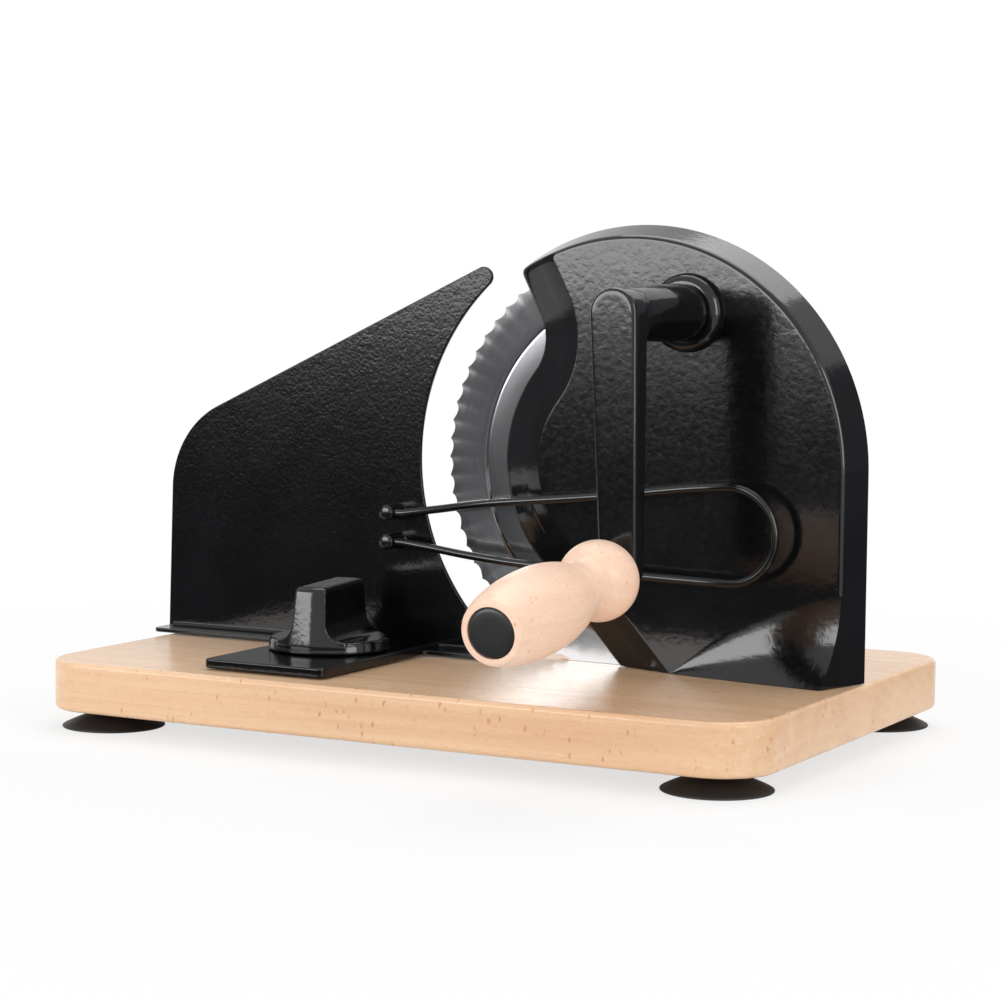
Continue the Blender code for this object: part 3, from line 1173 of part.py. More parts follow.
def make_guide(carriage):
    half, sheet = CHANNEL_HALF, CHANNEL_SHEET
    opening = half - sheet - CHANNEL_LIP
    right = [(half, CHANNEL_BOTTOM_Z), (half, CHANNEL_TOP_Z), (opening, CHANNEL_TOP_Z),
             (opening, CHANNEL_TOP_Z - sheet), (half - sheet, CHANNEL_TOP_Z - sheet),
             (half - sheet, CHANNEL_FLOOR_Z)]
    profile = [(KNOB_X + x, z) for x, z in right + [(-x, z) for x, z in reversed(right)]]
    channel = upright_plate("guide_channel", [profile], CHANNEL_FRONT_Y, CHANNEL_BACK_Y, parts)
    cut(channel, cylinder("pin_hole", CAM_PIN_RADIUS + GAP,
                          (KNOB_X, KNOB_Y + CAM_REST, CHANNEL_BOTTOM_Z - PAST),
                          (KNOB_X, KNOB_Y + CAM_REST, CHANNEL_FLOOR_Z + PAST), SMALL_ROUND,
                          cutters))
    head = BLOCK_SCREW_HEAD
    for i, (x, y) in enumerate(channel_screw_places()):
        cut(channel, cylinder(f"channel_hole_{i}", BLOCK_SCREW_RADIUS + GAP,
                              (x, y, CHANNEL_BOTTOM_Z - 0.0001), (x, y, CHANNEL_FLOOR_Z + 0.0001),
                              SMALL_ROUND, cutters, top_radius=head))
    finish(channel, steel)
    seat = CHANNEL_BOTTOM_Z
    profile = [(0.0, CHANNEL_FLOOR_Z), (head - GAP, CHANNEL_FLOOR_Z),
               (BLOCK_SCREW_RADIUS, seat), (BLOCK_SCREW_RADIUS, seat - CHANNEL_SCREW_LENGTH
                                            + BLOCK_SCREW_RADIUS),
               (0.0, seat - CHANNEL_SCREW_LENGTH + GAP)]
    screw_set("channel_screw", profile, [(x, y, 0) for x, y in channel_screw_places()], steel)
    wide, neck = half - sheet - GAP, opening - GAP
    right = [(wide, BLOCK_BOTTOM_Z), (wide, BLOCK_SHOULDER_Z), (neck, BLOCK_SHOULDER_Z),
             (neck, BLOCK_TOP_Z)]
    outline = [(KNOB_X + x, z) for x, z in right + [(-x, z) for x, z in reversed(right)]]
    block = upright_plate("slide_block", [outline], KNOB_Y - BLOCK_LENGTH / 2,
                          KNOB_Y + BLOCK_LENGTH / 2, parts)
    cut(block, child_of(cylinder("block_hole", SPINDLE_RADIUS + GAP,
                                 (KNOB_X, KNOB_Y, BLOCK_BOTTOM_Z - PAST),
                                 (KNOB_X, KNOB_Y, BLOCK_TOP_Z + PAST), SMALL_ROUND, cutters),
                        carriage))
    pocket_top = BLOCK_BOTTOM_Z + BLOCK_SCREW_POCKET
    for i, y in enumerate(block_screw_ys()):
        cut(block, child_of(cylinder(f"block_screw_hole_{i}", BLOCK_SCREW_RADIUS + GAP,
                                     (KNOB_X, y, BLOCK_BOTTOM_Z - PAST),
                                     (KNOB_X, y, BLOCK_TOP_Z + PAST), SMALL_ROUND, cutters),
                            carriage),
            child_of(cylinder(f"block_screw_pocket_{i}", BLOCK_SCREW_HEAD + GAP,
                              (KNOB_X, y, BLOCK_BOTTOM_Z - PAST),
                              (KNOB_X, y, pocket_top + GAP), SMALL_ROUND, cutters), carriage))
    finish(block, slide_plastic, carriage)
    tip = BOARD_TOP + SHEET_FLOAT + TONGUE_THREAD - GAP
    profile = screw_profile(BLOCK_SCREW_RADIUS, BLOCK_SCREW_HEAD, tip, pocket_top,
                            BLOCK_SCREW_POCKET - GAP / 3)
    screw_set("block_screw", profile, [(KNOB_X, y, 0) for y in block_screw_ys()], steel,
              carriage)


clear_scene()
parts = new_collection(PARTS_NAME)
cutters = new_collection(CUTTERS_NAME)

beech = make_material("beech", (0.66, 0.43, 0.25), 0.5)
beech_turned = make_material("beech_turned", (0.70, 0.44, 0.29), 0.42)
black_cast = make_material("black_cast", (0.012, 0.012, 0.013), 0.25)
black_plastic = make_material("black_plastic", (0.02, 0.02, 0.022), 0.4)
rubber = make_material("rubber", (0.02, 0.018, 0.017), 0.6)
bright_steel = make_material("bright_steel", (0.62, 0.62, 0.62), 0.28, 1.0)
steel = make_material("steel", (0.5, 0.5, 0.5), 0.35, 1.0)
bronze = make_material("bronze", (0.55, 0.38, 0.2), 0.35, 1.0)
gear_plastic = make_material("gear_plastic", (0.75, 0.73, 0.68), 0.45)
slide_plastic = make_material("slide_plastic", (0.7, 0.7, 0.68), 0.45)

blade_axis = empty("blade_axis", (BLADE_X, 0, BLADE_Z))
crank_axis = empty("crank_axis", (CRANK_X, 0, CRANK_Z), rotation=(0, -CRANK_LEAN, 0))
handle_axis = empty("handle_axis", (0, ARM_FRONT_Y, -CRANK_THROW), crank_axis,
                    (HANDLE_DROOP, 0, 0))
stop_carriage = empty("stop_carriage", (0, 0, 0))
knob_axis = empty("knob_axis", (KNOB_X, KNOB_Y, BOARD_TOP), stop_carriage,
                  (0, 0, KNOB_TURNED))

make_board()
make_feet()
make_board_screws()
make_housing()
make_blade_bearing()
make_blade(blade_axis)
make_blade_drive(blade_axis)
make_crank(crank_axis, handle_axis)
make_handle(handle_axis)
make_stop_plate(stop_carriage)
make_wire_guard(stop_carriage)
make_knob(knob_axis)
make_cam(knob_axis)
make_guide(stop_carriage)
bpy.context.view_layer.update()

stand_at_origin(empty("slicer", (0, 0, 0)))
bpy.context.view_layer.update()
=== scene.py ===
"""Looks for the hand-cranked bread slicer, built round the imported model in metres."""
import json
import math

import bmesh
import bpy
from mathutils import Matrix, Vector


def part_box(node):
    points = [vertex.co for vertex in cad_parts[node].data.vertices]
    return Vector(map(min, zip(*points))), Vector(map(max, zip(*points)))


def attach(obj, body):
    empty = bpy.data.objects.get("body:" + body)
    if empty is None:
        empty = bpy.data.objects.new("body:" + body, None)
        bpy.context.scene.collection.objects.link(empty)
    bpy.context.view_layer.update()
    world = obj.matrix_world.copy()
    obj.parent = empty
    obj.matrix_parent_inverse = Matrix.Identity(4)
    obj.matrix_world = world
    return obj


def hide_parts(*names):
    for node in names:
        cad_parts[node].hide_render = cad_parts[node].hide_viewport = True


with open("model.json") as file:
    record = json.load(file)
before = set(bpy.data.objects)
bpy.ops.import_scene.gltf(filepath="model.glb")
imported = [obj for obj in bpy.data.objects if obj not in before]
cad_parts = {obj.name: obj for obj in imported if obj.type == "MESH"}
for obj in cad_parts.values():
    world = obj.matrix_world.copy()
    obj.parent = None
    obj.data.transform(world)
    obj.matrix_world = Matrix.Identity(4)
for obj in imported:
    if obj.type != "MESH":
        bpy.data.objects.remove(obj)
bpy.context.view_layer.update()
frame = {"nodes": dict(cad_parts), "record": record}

# Sizes repeated from the part's source
GAP = 0.0003                    # between neighbouring pieces
PAST = 0.001                    # how far a cutter runs past what it cuts
BOARD_LENGTH = 0.340
BOARD_DEPTH = 0.230
BOARD_TOP = 0.022
BOARD_CORNER = 0.024
FOOT_X = 0.145
FOOT_Y = 0.090
BLADE_X = 0.065
BLADE_Z = BOARD_TOP + 0.088
BLADE_RADIUS = 0.095
BLADE_FRONT = 0.0069
BLADE_BACK = 0.0084
BLADE_TEETH = 72
GEAR_MODULE = 0.0015
GEAR_TEETH = 64
PINION_TEETH = 31
GEAR_BEARING = math.radians(67.6)
GEAR_DISTANCE = GEAR_MODULE * (GEAR_TEETH + PINION_TEETH) / 2
CRANK_X = BLADE_X + GEAR_DISTANCE * math.cos(GEAR_BEARING)
CRANK_Z = BLADE_Z + GEAR_DISTANCE * math.sin(GEAR_BEARING)
CRANK_LEAN = math.radians(1.9)
CRANK_THROW = 0.103
ARM_FRONT = -0.080
ARM_TOP_THICKNESS = 0.0125
ARM_END_THICKNESS = 0.009
DROOP = math.radians(7)
HOUSING_RADIUS = 0.1034
HOUSING_BACK = 0.009
HOUSING_FACE = -0.007
HOUSING_BASE = BOARD_TOP + GAP
HOUSING_WALL = 0.003
HOUSING_SCREWS = (0.078, 0.117, 0.151)
HOUSING_SCREW_Y = -0.0012
DRAFT = 0.33
CUT_Y = 0.0042
CUT_RADIUS = 0.064
CUT_BEVEL = 0.0175
NOTCH_RADIUS = 0.022
NOTCH_BEARING = math.radians(141.5)
TIP_BEARING = math.radians(116.8)
LEG_BEARING = math.radians(222)
BOSS_RADIUS = 0.0115
COLLAR_FRONT = -0.013
SHEET = 0.002
DECK = 0.004
PLATE_FRONT = -0.004
LIP_BOTTOM = BOARD_TOP + 0.0008
LIP_FRONT = -0.017
TONGUE_LEFT = -0.089
KNOB_X = -0.060
KNOB_Y = -0.0465
KNOB_Z = LIP_BOTTOM + DECK + GAP
KNOB_TURNED = math.radians(10)
POST_X = -0.050
POST_RADIUS = 0.0035
POST_WIRE_Y = -0.013
WIRE_RADIUS = 0.00175

# Sizes taken a little wider here than in the part's source, as the photograph shows them
ARM_TOP_RADIUS = 0.0103
ARM_END_RADIUS = 0.0082
HUB_SWELL = 0.0122              # at the collar
TONGUE_RIGHT = -0.029

# Studio
FLOOR_Z = -0.0086               # just under the feet
FLOOR_RADIUS = 6.0
CARD_Z = -0.0080                # just over the floor

QUARTER = math.pi / 2
SAME = 1e-7                     # points closer than this are one
FLAT = 1e-6                     # an edge that climbs less than this lies flat


# Shaping

def polar(radius, angle, centre=(0.0, 0.0)):
    return (centre[0] + radius * math.cos(angle), centre[1] + radius * math.sin(angle))


def arc(radius, start, end, steps, centre=(0.0, 0.0)):
    return [polar(radius, start + (end - start) * i / steps, centre) for i in range(steps + 1)]


def shift(x, y, z):
    return Matrix.Translation((x, y, z))


def rotate(angle, axis):
    return Matrix.Rotation(angle, 4, axis)


def home():
    """The centre of the board's underside, which every size and place here is measured from."""
    low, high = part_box("board")
    return shift((low.x + high.x) / 2, (low.y + high.y) / 2, low.z)


HOME = home()


def box_from_home(node):
    return [corner - HOME.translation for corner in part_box(node)]


def move(bm, *steps):
    for step in steps:
        bmesh.ops.transform(bm, matrix=step, verts=bm.verts)
    return bm


def ring_of(bm, points):
    """Closed ring of new vertices and edges."""
    ring = [bm.verts.new(p) for p in points]
    for pair in zip(ring, ring[1:] + ring[:1]):
        bm.edges.new(pair)
    return ring


def grow(bm, ring, points):
    """Extrude a ring once and put its new vertices at points."""
    edges = [bm.edges.get(pair) for pair in zip(ring, ring[1:] + ring[:1])]
    made = bmesh.ops.extrude_edge_only(bm, edges=edges)["geom"]
    fresh = {part for part in made if isinstance(part, bmesh.types.BMVert)}
    top = [next(e.other_vert(v) for e in v.link_edges if e.other_vert(v) in fresh) for v in ring]
    for vert, point in zip(top, points):
        vert.co = point
    return top


def cap(bm, ring):
    bmesh.ops.contextual_create(bm, geom=[bm.edges.get(pair)
                                          for pair in zip(ring, ring[1:] + ring[:1])])


def skin(rings, hollow=False):
    """Grow a surface through rings of equally many points; a hollow one closes on itself."""
    bm = bmesh.new()
    first = last = ring_of(bm, rings[0])
    for points in rings[1:]:
        last = grow(bm, last, points)
    if hollow:
        grow(bm, last, [v.co.copy() for v in first])
        bmesh.ops.remove_doubles(bm, verts=bm.verts, dist=SAME)
    else:
        cap(bm, first)
        cap(bm, last)
    return bm


def climb(edge):
    return abs(edge.verts[0].co.z - edge.verts[1].co.z)


def slab(outline, low, high, edge=0.0, segments=3):
    """Flat piece of an outline in X-Y from z low to z high, with rounded rims."""
    bm = bmesh.new()
    ring = ring_of(bm, [(x, y, low) for x, y in outline])
    top = grow(bm, ring, [(x, y, high) for x, y in outline])
    cap(bm, ring)
    cap(bm, top)
    bmesh.ops.recalc_face_normals(bm, faces=bm.faces)
    if edge:
        rims = [e for e in bm.edges if climb(e) < FLAT]
        bmesh.ops.bevel(bm, geom=rims, offset=edge, offset_type="OFFSET", segments=segments,
                        profile=0.5, affect="EDGES", clamp_overlap=True, material=-1)
    return bm


def block(low, high):
    """Plain block between two corners."""
    low, high = Vector(low), Vector(high)
    bm = bmesh.new()
    bmesh.ops.create_cube(bm, size=1.0, matrix=shift(*(low + high) / 2) @ Matrix.Diagonal(
        (*(high - low), 1)))
    return bm


def turn(profile, steps=96, closed=False):
    """Spin (radius, z) points once round Z."""
    bm = bmesh.new()
    verts = [bm.verts.new((r, 0.0, z)) for r, z in profile]
    edges = [bm.edges.new(pair) for pair in zip(verts, verts[1:])]
    if closed:
        edges.append(bm.edges.new((verts[-1], verts[0])))
    bmesh.ops.spin(bm, geom=verts + edges, cent=(0, 0, 0), axis=(0, 0, 1), angle=2 * math.pi,
                   steps=steps, use_merge=True)
    bmesh.ops.remove_doubles(bm, verts=bm.verts, dist=10 * SAME)
    return bm


def quarter_round(radius, steps, centre):
    """From straight over the centre down to its side, as (radius, height) points."""
    return [(centre[0] + radius * math.sin(a), centre[1] + radius * math.cos(a))
            for a in (QUARTER * i / steps for i in range(steps + 1))]


def peg(radius, start, end, sides=64):
    """Plain round bar between two points."""
    bm = bmesh.new()
    start, end = Vector(start), Vector(end)
    aim = (end - start).to_track_quat("Z", "Y").to_matrix().to_4x4()
    bmesh.ops.create_cone(bm, cap_ends=True, segments=sides, radius1=radius, radius2=radius,
                          depth=(end - start).length, matrix=shift(*(start + end) / 2) @ aim)
    return bm


UPRIGHT = rotate(QUARTER, "X")          # lays X-Y outlines up in X-Z, with z low at the back


def rough_object(bm, name="blank"):
    bmesh.ops.recalc_face_normals(bm, faces=bm.faces)
    mesh = bpy.data.meshes.new(name)
    bm.to_mesh(mesh)
    bm.free()
    obj = bpy.data.objects.new(name, mesh)
    bpy.context.scene.collection.objects.link(obj)
    return obj


def settled(obj):
    """The object's mesh with its modifiers applied, as a bmesh; the object goes."""
    bpy.context.view_layer.update()
    mesh = bpy.data.meshes.new_from_object(obj.evaluated_get(
        bpy.context.evaluated_depsgraph_get()))
    bm = bmesh.new()
    bm.from_mesh(mesh)
    bpy.data.meshes.remove(mesh)
    bpy.data.objects.remove(obj, do_unlink=True)
    return bm


def carve(bm, *tools):
    """Cut or join shapes; each tool is (operation, bmesh)."""
    body = rough_object(bm)
    helpers = []
    for operation, shape in tools:
        helper = rough_object(shape, "tool")
        helpers.append(helper)
        step = body.modifiers.new("step", "BOOLEAN")
        step.operation = operation
        step.solver = "EXACT"
        step.object = helper
    result = settled(body)
    for helper in helpers:
        bpy.data.objects.remove(helper, do_unlink=True)
    return result


def fuse(shapes, grain, passes):
    """Melt overlapping shapes into one casting with soft inner corners."""
    bm = bmesh.new()
    for shape in shapes:
        bmesh.ops.recalc_face_normals(shape, faces=shape.faces)
        mesh = bpy.data.meshes.new("shape")
        shape.to_mesh(mesh)
        shape.free()
        bm.from_mesh(mesh)
        bpy.data.meshes.remove(mesh)
    blank = rough_object(bm)
    melt = blank.modifiers.new("melt", "REMESH")
    melt.mode = "VOXEL"
    melt.voxel_size = grain
    ease = blank.modifiers.new("ease", "SMOOTH")
    ease.factor = 0.5
    ease.iterations = passes
    return settled(blank)


def put(name, bm, body, finish, stands_for, sharp, weighted=False):
    """Make the finished piece, smooth where its faces meet at less than the sharp angle."""
    bmesh.ops.remove_doubles(bm, verts=bm.verts, dist=SAME)
    bmesh.ops.recalc_face_normals(bm, faces=bm.faces)
    move(bm, HOME)
    mesh = bpy.data.meshes.new(name)
    bm.to_mesh(mesh)
    bm.free()
    piece = bpy.data.objects.new(name, mesh)
    bpy.context.scene.collection.objects.link(piece)
    mesh.shade_smooth()
    mesh.set_sharp_from_angle(angle=math.radians(sharp))
    mesh.materials.append(finish)
    if weighted:
        evened = piece.modifiers.new("evened", "WEIGHTED_NORMAL")
        evened.keep_sharp = True
        evened.weight = 80
    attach(piece, body)
    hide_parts(*stands_for)


# Finishes

def add(tree, kind, inputs=(), **settings):
    """New shader node with its settings, values and links."""
    made = tree.nodes.new("ShaderNode" + kind)
    for key, value in settings.items():
        setattr(made, key, value)
    for key, value in dict(inputs).items():
        if isinstance(value, bpy.types.NodeSocket):
            tree.links.new(value, made.inputs[key])
        else:
            made.inputs[key].default_value = value
    return made


def blank_finish(name):
    material = bpy.data.materials.new(name)
    material.use_nodes = True
    tree = material.node_tree
    place = add(tree, "VectorMath", {0: add(tree, "TexCoord").outputs["Object"],
                                     1: HOME.translation}, operation="SUBTRACT")
    return material, tree, tree.nodes["Principled BSDF"], place.outputs["Vector"]


def stretched(tree, place, scale, turned=(0, 0, 0), offset=(0, 0, 0)):
    return add(tree, "Mapping", {"Vector": place, "Scale": scale, "Rotation": turned,
                                 "Location": offset}).outputs["Vector"]


def noise(tree, place, scale, detail=2.0, rough=0.5, twist=0.0):
    return add(tree, "TexNoise", {"Vector": place, "Scale": scale, "Detail": detail,
                                  "Roughness": rough, "Distortion": twist}).outputs["Fac"]


def ramp(tree, value, *stops):
    """Colour ramp of (position, colour or grey)."""
    made = add(tree, "ValToRGB", {"Fac": value})
    elements = made.color_ramp.elements
    for i, (position, colour) in enumerate(stops):
        element = elements[i] if i < 2 else elements.new(position)
        element.position = position
        grey = isinstance(colour, float)
        element.color = (colour, colour, colour, 1) if grey else (*colour, 1)
    return made.outputs["Color"]


def level(tree, value, low, high, start=0.0, end=1.0):
    """The stretch from start to end brought to low and high."""
    return add(tree, "MapRange", {"Value": value, "From Min": start, "From Max": end,
                                  "To Min": low, "To Max": high}).outputs["Result"]


def mixed(tree, share, first, second):
    made = add(tree, "Mix", data_type="RGBA", blend_type="MIX")
    for index, value in ((0, share), (6, first), (7, second)):
        if isinstance(value, bpy.types.NodeSocket):
            tree.links.new(value, made.inputs[index])
        else:
            made.inputs[index].default_value = value if index == 0 else (*value, 1)
    return made.outputs[2]


def shaded(colour, share):
    return tuple(c * share for c in colour)


def worked(tree, first, second, way="ADD"):
    """Two values worked into one, by adding them unless another way is named."""
    return add(tree, "Math", {0: first, 1: second}, operation=way).outputs["Value"]


def dented(tree, shader, height, depth):
    """Bump from a height of 0 to 1 over a depth in metres."""
    made = add(tree, "Bump", {"Height": height, "Distance": depth, "Strength": 1.0})
    tree.links.new(made.outputs["Normal"], shader.inputs["Normal"])


def enamel(name, peel, depth, gloss, shine=0.5):
    """Black enamel on a casting, with an orange peel of that size and depth."""
    dark = (0.0024, 0.0026, 0.0031)
    material, tree, shader, place = blank_finish(name)
    fine = noise(tree, place, 1 / peel, 2.0, 0.45, 0.3)
    broad = noise(tree, place, 0.28 / peel, 1.0)
    height = worked(tree, level(tree, fine, 0, 0.7), level(tree, broad, 0, 0.5))
    shader.inputs["Specular IOR Level"].default_value = shine
    patches = noise(tree, place, 35.0, 3.0)
    tree.links.new(level(tree, fine, gloss - 0.04, gloss + 0.06), shader.inputs["Roughness"])
    tree.links.new(mixed(tree, level(tree, patches, 0, 1, 0.35, 0.65), dark, shaded(dark, 1.9)),
                   shader.inputs["Base Color"])
    dented(tree, shader, height, depth)
    return material


def beech(name, pale, deep, fleck_size, fleck_share, gloss, turned=(0, 0, 0)):
    """Beech with its grain along X before the turn: bands, fine streaks, pores and ray flecks."""
    material, tree, shader, place = blank_finish(name)
    along = stretched(tree, place, (1, 1, 1), turned)

    wander = noise(tree, stretched(tree, along, (5, 30, 30)), 1.0, 2.0)
    bands = noise(tree, stretched(tree, along, (2.5, 55, 55)), 1.0, 4.0, 0.6, 0.4)
    streaks = noise(tree, stretched(tree, along, (14, 700, 700)), 1.0, 3.0, 0.55)
    pores = noise(tree, stretched(tree, along, (160, 3200, 3200)), 1.0, 1.0)
    heart_tilt, heart_place = (0, 0.012, 0.02), (0, 0.05, 0.19)
    rings = add(tree, "TexWave", {"Vector": stretched(tree, along, (1, 1, 1), heart_tilt,
                                                      heart_place),
                                  "Scale": 48.0, "Distortion": 3.5, "Detail": 2.0,
                                  "Detail Scale": 9.0, "Detail Roughness": 0.55},
                wave_type="RINGS", rings_direction="X", wave_profile="SAW").outputs["Fac"]
    tone = worked(tree, worked(tree, level(tree, bands, 0, 0.42, 0.3, 0.7),
                               level(tree, rings, 0, 0.20)),
                  worked(tree, level(tree, streaks, 0, 0.26, 0.3, 0.7),
                         level(tree, wander, 0, 0.16, 0.3, 0.7)))
    colour = ramp(tree, tone, (0.05, pale), (0.95, deep))

    fleck_warp = 0.0011
    warp = level(tree, noise(tree, place, 320.0, 2.0), -fleck_warp, fleck_warp)
    warped = add(tree, "VectorMath", {0: along, 1: warp}, operation="ADD").outputs["Vector"]
    fleck_scale = (fleck_size * 2.3, fleck_size * 1.4, fleck_size)
    cells = add(tree, "TexVoronoi", {"Vector": stretched(tree, warped, fleck_scale),
                                     "Scale": 1.0, "Randomness": 1.0})
    draw = add(tree, "SeparateColor", {"Color": cells.outputs["Color"]}).outputs["Red"]
    chosen = ramp(tree, draw, (fleck_share, 1.0), (fleck_share + 0.02, 0.0))
    spots = ramp(tree, cells.outputs["Distance"], (0.08, 1.0), (0.26, 0.0))
    flecks = worked(tree, chosen, spots, "MULTIPLY")
    fleck_colour = tuple(c * share for c, share in zip(deep, (0.78, 0.58, 0.42)))
    colour = mixed(tree, level(tree, flecks, 0, 0.80), colour, fleck_colour)
    colour = mixed(tree, level(tree, pores, 0.16, 0, 0.30, 0.44), colour, shaded(deep, 0.5))

    tree.links.new(colour, shader.inputs["Base Color"])
    tree.links.new(level(tree, streaks, gloss - 0.05, gloss + 0.08), shader.inputs["Roughness"])
    shader.inputs["Specular IOR Level"].default_value = 0.36
    grain = worked(tree, streaks, level(tree, pores, 0, 0.8, 0.3, 0.45))
    dented(tree, shader, grain, 0.00002)
    return material


def round_brushed(name, centre, colour, gloss):
    """Steel ground in circles about a centre in X-Z."""
    material, tree, shader, place = blank_finish(name)
    from_centre = add(tree, "VectorMath", {0: place, 1: (centre[0], 0, centre[1])},
                      operation="SUBTRACT").outputs["Vector"]
    parts = add(tree, "SeparateXYZ", {"Vector": from_centre}).outputs
    flat = add(tree, "CombineXYZ", {"X": parts["X"], "Z": parts["Z"]}).outputs["Vector"]
    radius = add(tree, "VectorMath", {0: flat}, operation="LENGTH").outputs["Value"]
    angle = worked(tree, parts["Z"], parts["X"], "ARCTAN2")
    round_way = 0.0012               # so little that a scratch runs about a sixth of the way round
    turned = level(tree, angle, -round_way, round_way, -math.pi, math.pi)
    round_place = add(tree, "CombineXYZ", {"X": radius, "Y": turned, "Z": parts["Y"]})
    scratches = noise(tree, round_place.outputs["Vector"], 2600.0, 3.0, 0.7)
    clouds = noise(tree, place, 18.0, 2.0)
    tree.links.new(mixed(tree, level(tree, scratches, 0, 1, 0.35, 0.65), shaded(colour, 0.94),
                         colour), shader.inputs["Base Color"])
    shader.inputs["Metallic"].default_value = 1.0
    shader.inputs["Anisotropic"].default_value = 0.4
    outward = add(tree, "VectorTransform", {"Vector": flat}, vector_type="VECTOR",
                  convert_from="OBJECT", convert_to="WORLD")
    tree.links.new(outward.outputs["Vector"], shader.inputs["Tangent"])
    rough = worked(tree, level(tree, scratches, gloss - 0.03, gloss + 0.03),
                   level(tree, clouds, -0.03, 0.03))
    tree.links.new(rough, shader.inputs["Roughness"])
    dented(tree, shader, scratches, 0.000002)
    return material


def plain(name, colour, gloss, metal=0.0, mottle=0.12, size=900.0, depth=0.00001):
    """Machined or moulded stock with a fine mottle."""
    material, tree, shader, place = blank_finish(name)
    specks = noise(tree, place, size, 3.0)
    clouds = noise(tree, place, size / 14, 2.0)
    share = worked(tree, level(tree, specks, 0, 0.5, 0.3, 0.7),
                   level(tree, clouds, 0, 0.5, 0.3, 0.7))
    tree.links.new(mixed(tree, share, shaded(colour, 1 - mottle), shaded(colour, 1 + mottle)),
                   shader.inputs["Base Color"])
    shader.inputs["Metallic"].default_value = metal
    tree.links.new(level(tree, specks, gloss - 0.05, gloss + 0.07), shader.inputs["Roughness"])
    dented(tree, shader, specks, depth)
    return material


board_wood = beech("board_beech", (0.81, 0.575, 0.37), (0.645, 0.385, 0.22), fleck_size=155.0,
                   fleck_share=0.46, gloss=0.24)
handle_wood = beech("handle_beech", (0.88, 0.64, 0.49), (0.78, 0.51, 0.37), fleck_size=260.0,
                    fleck_share=0.22, gloss=0.34, turned=(0, 0, QUARTER))
casting = enamel("casting_enamel", peel=0.0026, depth=0.00006, gloss=0.11)
plate_enamel = enamel("plate_enamel", peel=0.0015, depth=0.00008, gloss=0.12, shine=0.36)
knob_enamel = enamel("knob_enamel", peel=0.0016, depth=0.00005, gloss=0.09)
wire_enamel = enamel("wire_enamel", peel=0.0030, depth=0.00004, gloss=0.16)
blade_steel = round_brushed("blade_steel", (BLADE_X, BLADE_Z), (0.42, 0.425, 0.435), gloss=0.13)
plated = plain("zinc_plated", (0.62, 0.62, 0.60), gloss=0.32, metal=1.0)
oiled_bronze = plain("oiled_bronze", (0.60, 0.40, 0.20), gloss=0.36, metal=1.0)
nylon = plain("natural_nylon", (0.74, 0.72, 0.66), gloss=0.45, mottle=0.05, size=500.0)
acetal = plain("natural_acetal", (0.70, 0.70, 0.68), gloss=0.42, mottle=0.05, size=500.0)
black_rubber = plain("black_rubber", (0.014, 0.012, 0.011), gloss=0.55, mottle=0.25,
                     size=1400.0, depth=0.00003)
plug_plastic = plain("plug_plastic", (0.018, 0.018, 0.019), gloss=0.36, mottle=0.10,
                     size=1200.0)


# Board and feet

def dent_for_blade():
    room, side = 0.0015, 0.001
    front, back = BLADE_FRONT - side, BLADE_BACK + side
    return peg(BLADE_RADIUS + room, (BLADE_X, front, BLADE_Z), (BLADE_X, back, BLADE_Z), 256)


def bars_at_housing_screws(radius, low, high, sides):
    bm = bmesh.new()
    for x in HOUSING_SCREWS:
        bmesh.ops.create_cone(bm, cap_ends=True, segments=sides, radius1=radius, radius2=radius,
                              depth=high - low, matrix=shift(x, HOUSING_SCREW_Y,
                                                             (low + high) / 2))
    return bm


def make_board():
    easing, bore, bore_depth = 0.0022, 0.005, 0.005
    bm = block((-BOARD_LENGTH / 2, -BOARD_DEPTH / 2, 0), (BOARD_LENGTH / 2, BOARD_DEPTH / 2,
                                                          BOARD_TOP))
    posts = [e for e in bm.edges if climb(e) > BOARD_TOP / 2]
    bmesh.ops.bevel(bm, geom=posts, offset=BOARD_CORNER, segments=20, profile=0.5,
                    affect="EDGES", material=-1)
    rims = [e for e in bm.edges if climb(e) < FLAT
            and len({round(f.normal.z, 2) for f in e.link_faces}) > 1]
    bmesh.ops.bevel(bm, geom=rims, offset=easing, segments=4, profile=0.5, affect="EDGES",
                    material=-1)
    low, high = box_from_home("guide_channel")
    pit = block((low.x - GAP, low.y - GAP, low.z - GAP),
                (high.x + GAP, high.y + GAP, BOARD_TOP + PAST))
    bores = bars_at_housing_screws(bore, -bore_depth, bore_depth, 48)
    bm = carve(bm, ("DIFFERENCE", dent_for_blade()), ("DIFFERENCE", pit), ("DIFFERENCE", bores))
    put("board_dressed", bm, "base", board_wood, ["board"], sharp=30, weighted=True)


def make_feet():
    outer = [(0.0090, -0.0003), (0.0090, -0.0020), (0.0098, -0.0026), (0.0118, -0.0033),
             (0.0145, -0.0043), (0.0175, -0.0055), (0.0202, -0.0067), (0.0218, -0.0075),
             (0.0224, -0.0079), (0.0225, -0.0083), (0.0223, -0.0085)]
    inner = [(0.0203, -0.0085), (0.0182, -0.0078), (0.0150, -0.0064), (0.0110, -0.0050),
             (0.0056, -0.0035), (0.0024, -0.0034), (0.0024, -0.0003)]
    for x, across in ((-FOOT_X, "left"), (FOOT_X, "right")):
        for y, along in ((-FOOT_Y, "front"), (FOOT_Y, "back")):
            node = f"foot_{along}_{across}"
            cup = turn(outer + inner, 96, closed=True)
            put(node + "_cup", move(cup, shift(x, y, 0)), "base", black_rubber,
                [node], sharp=50)


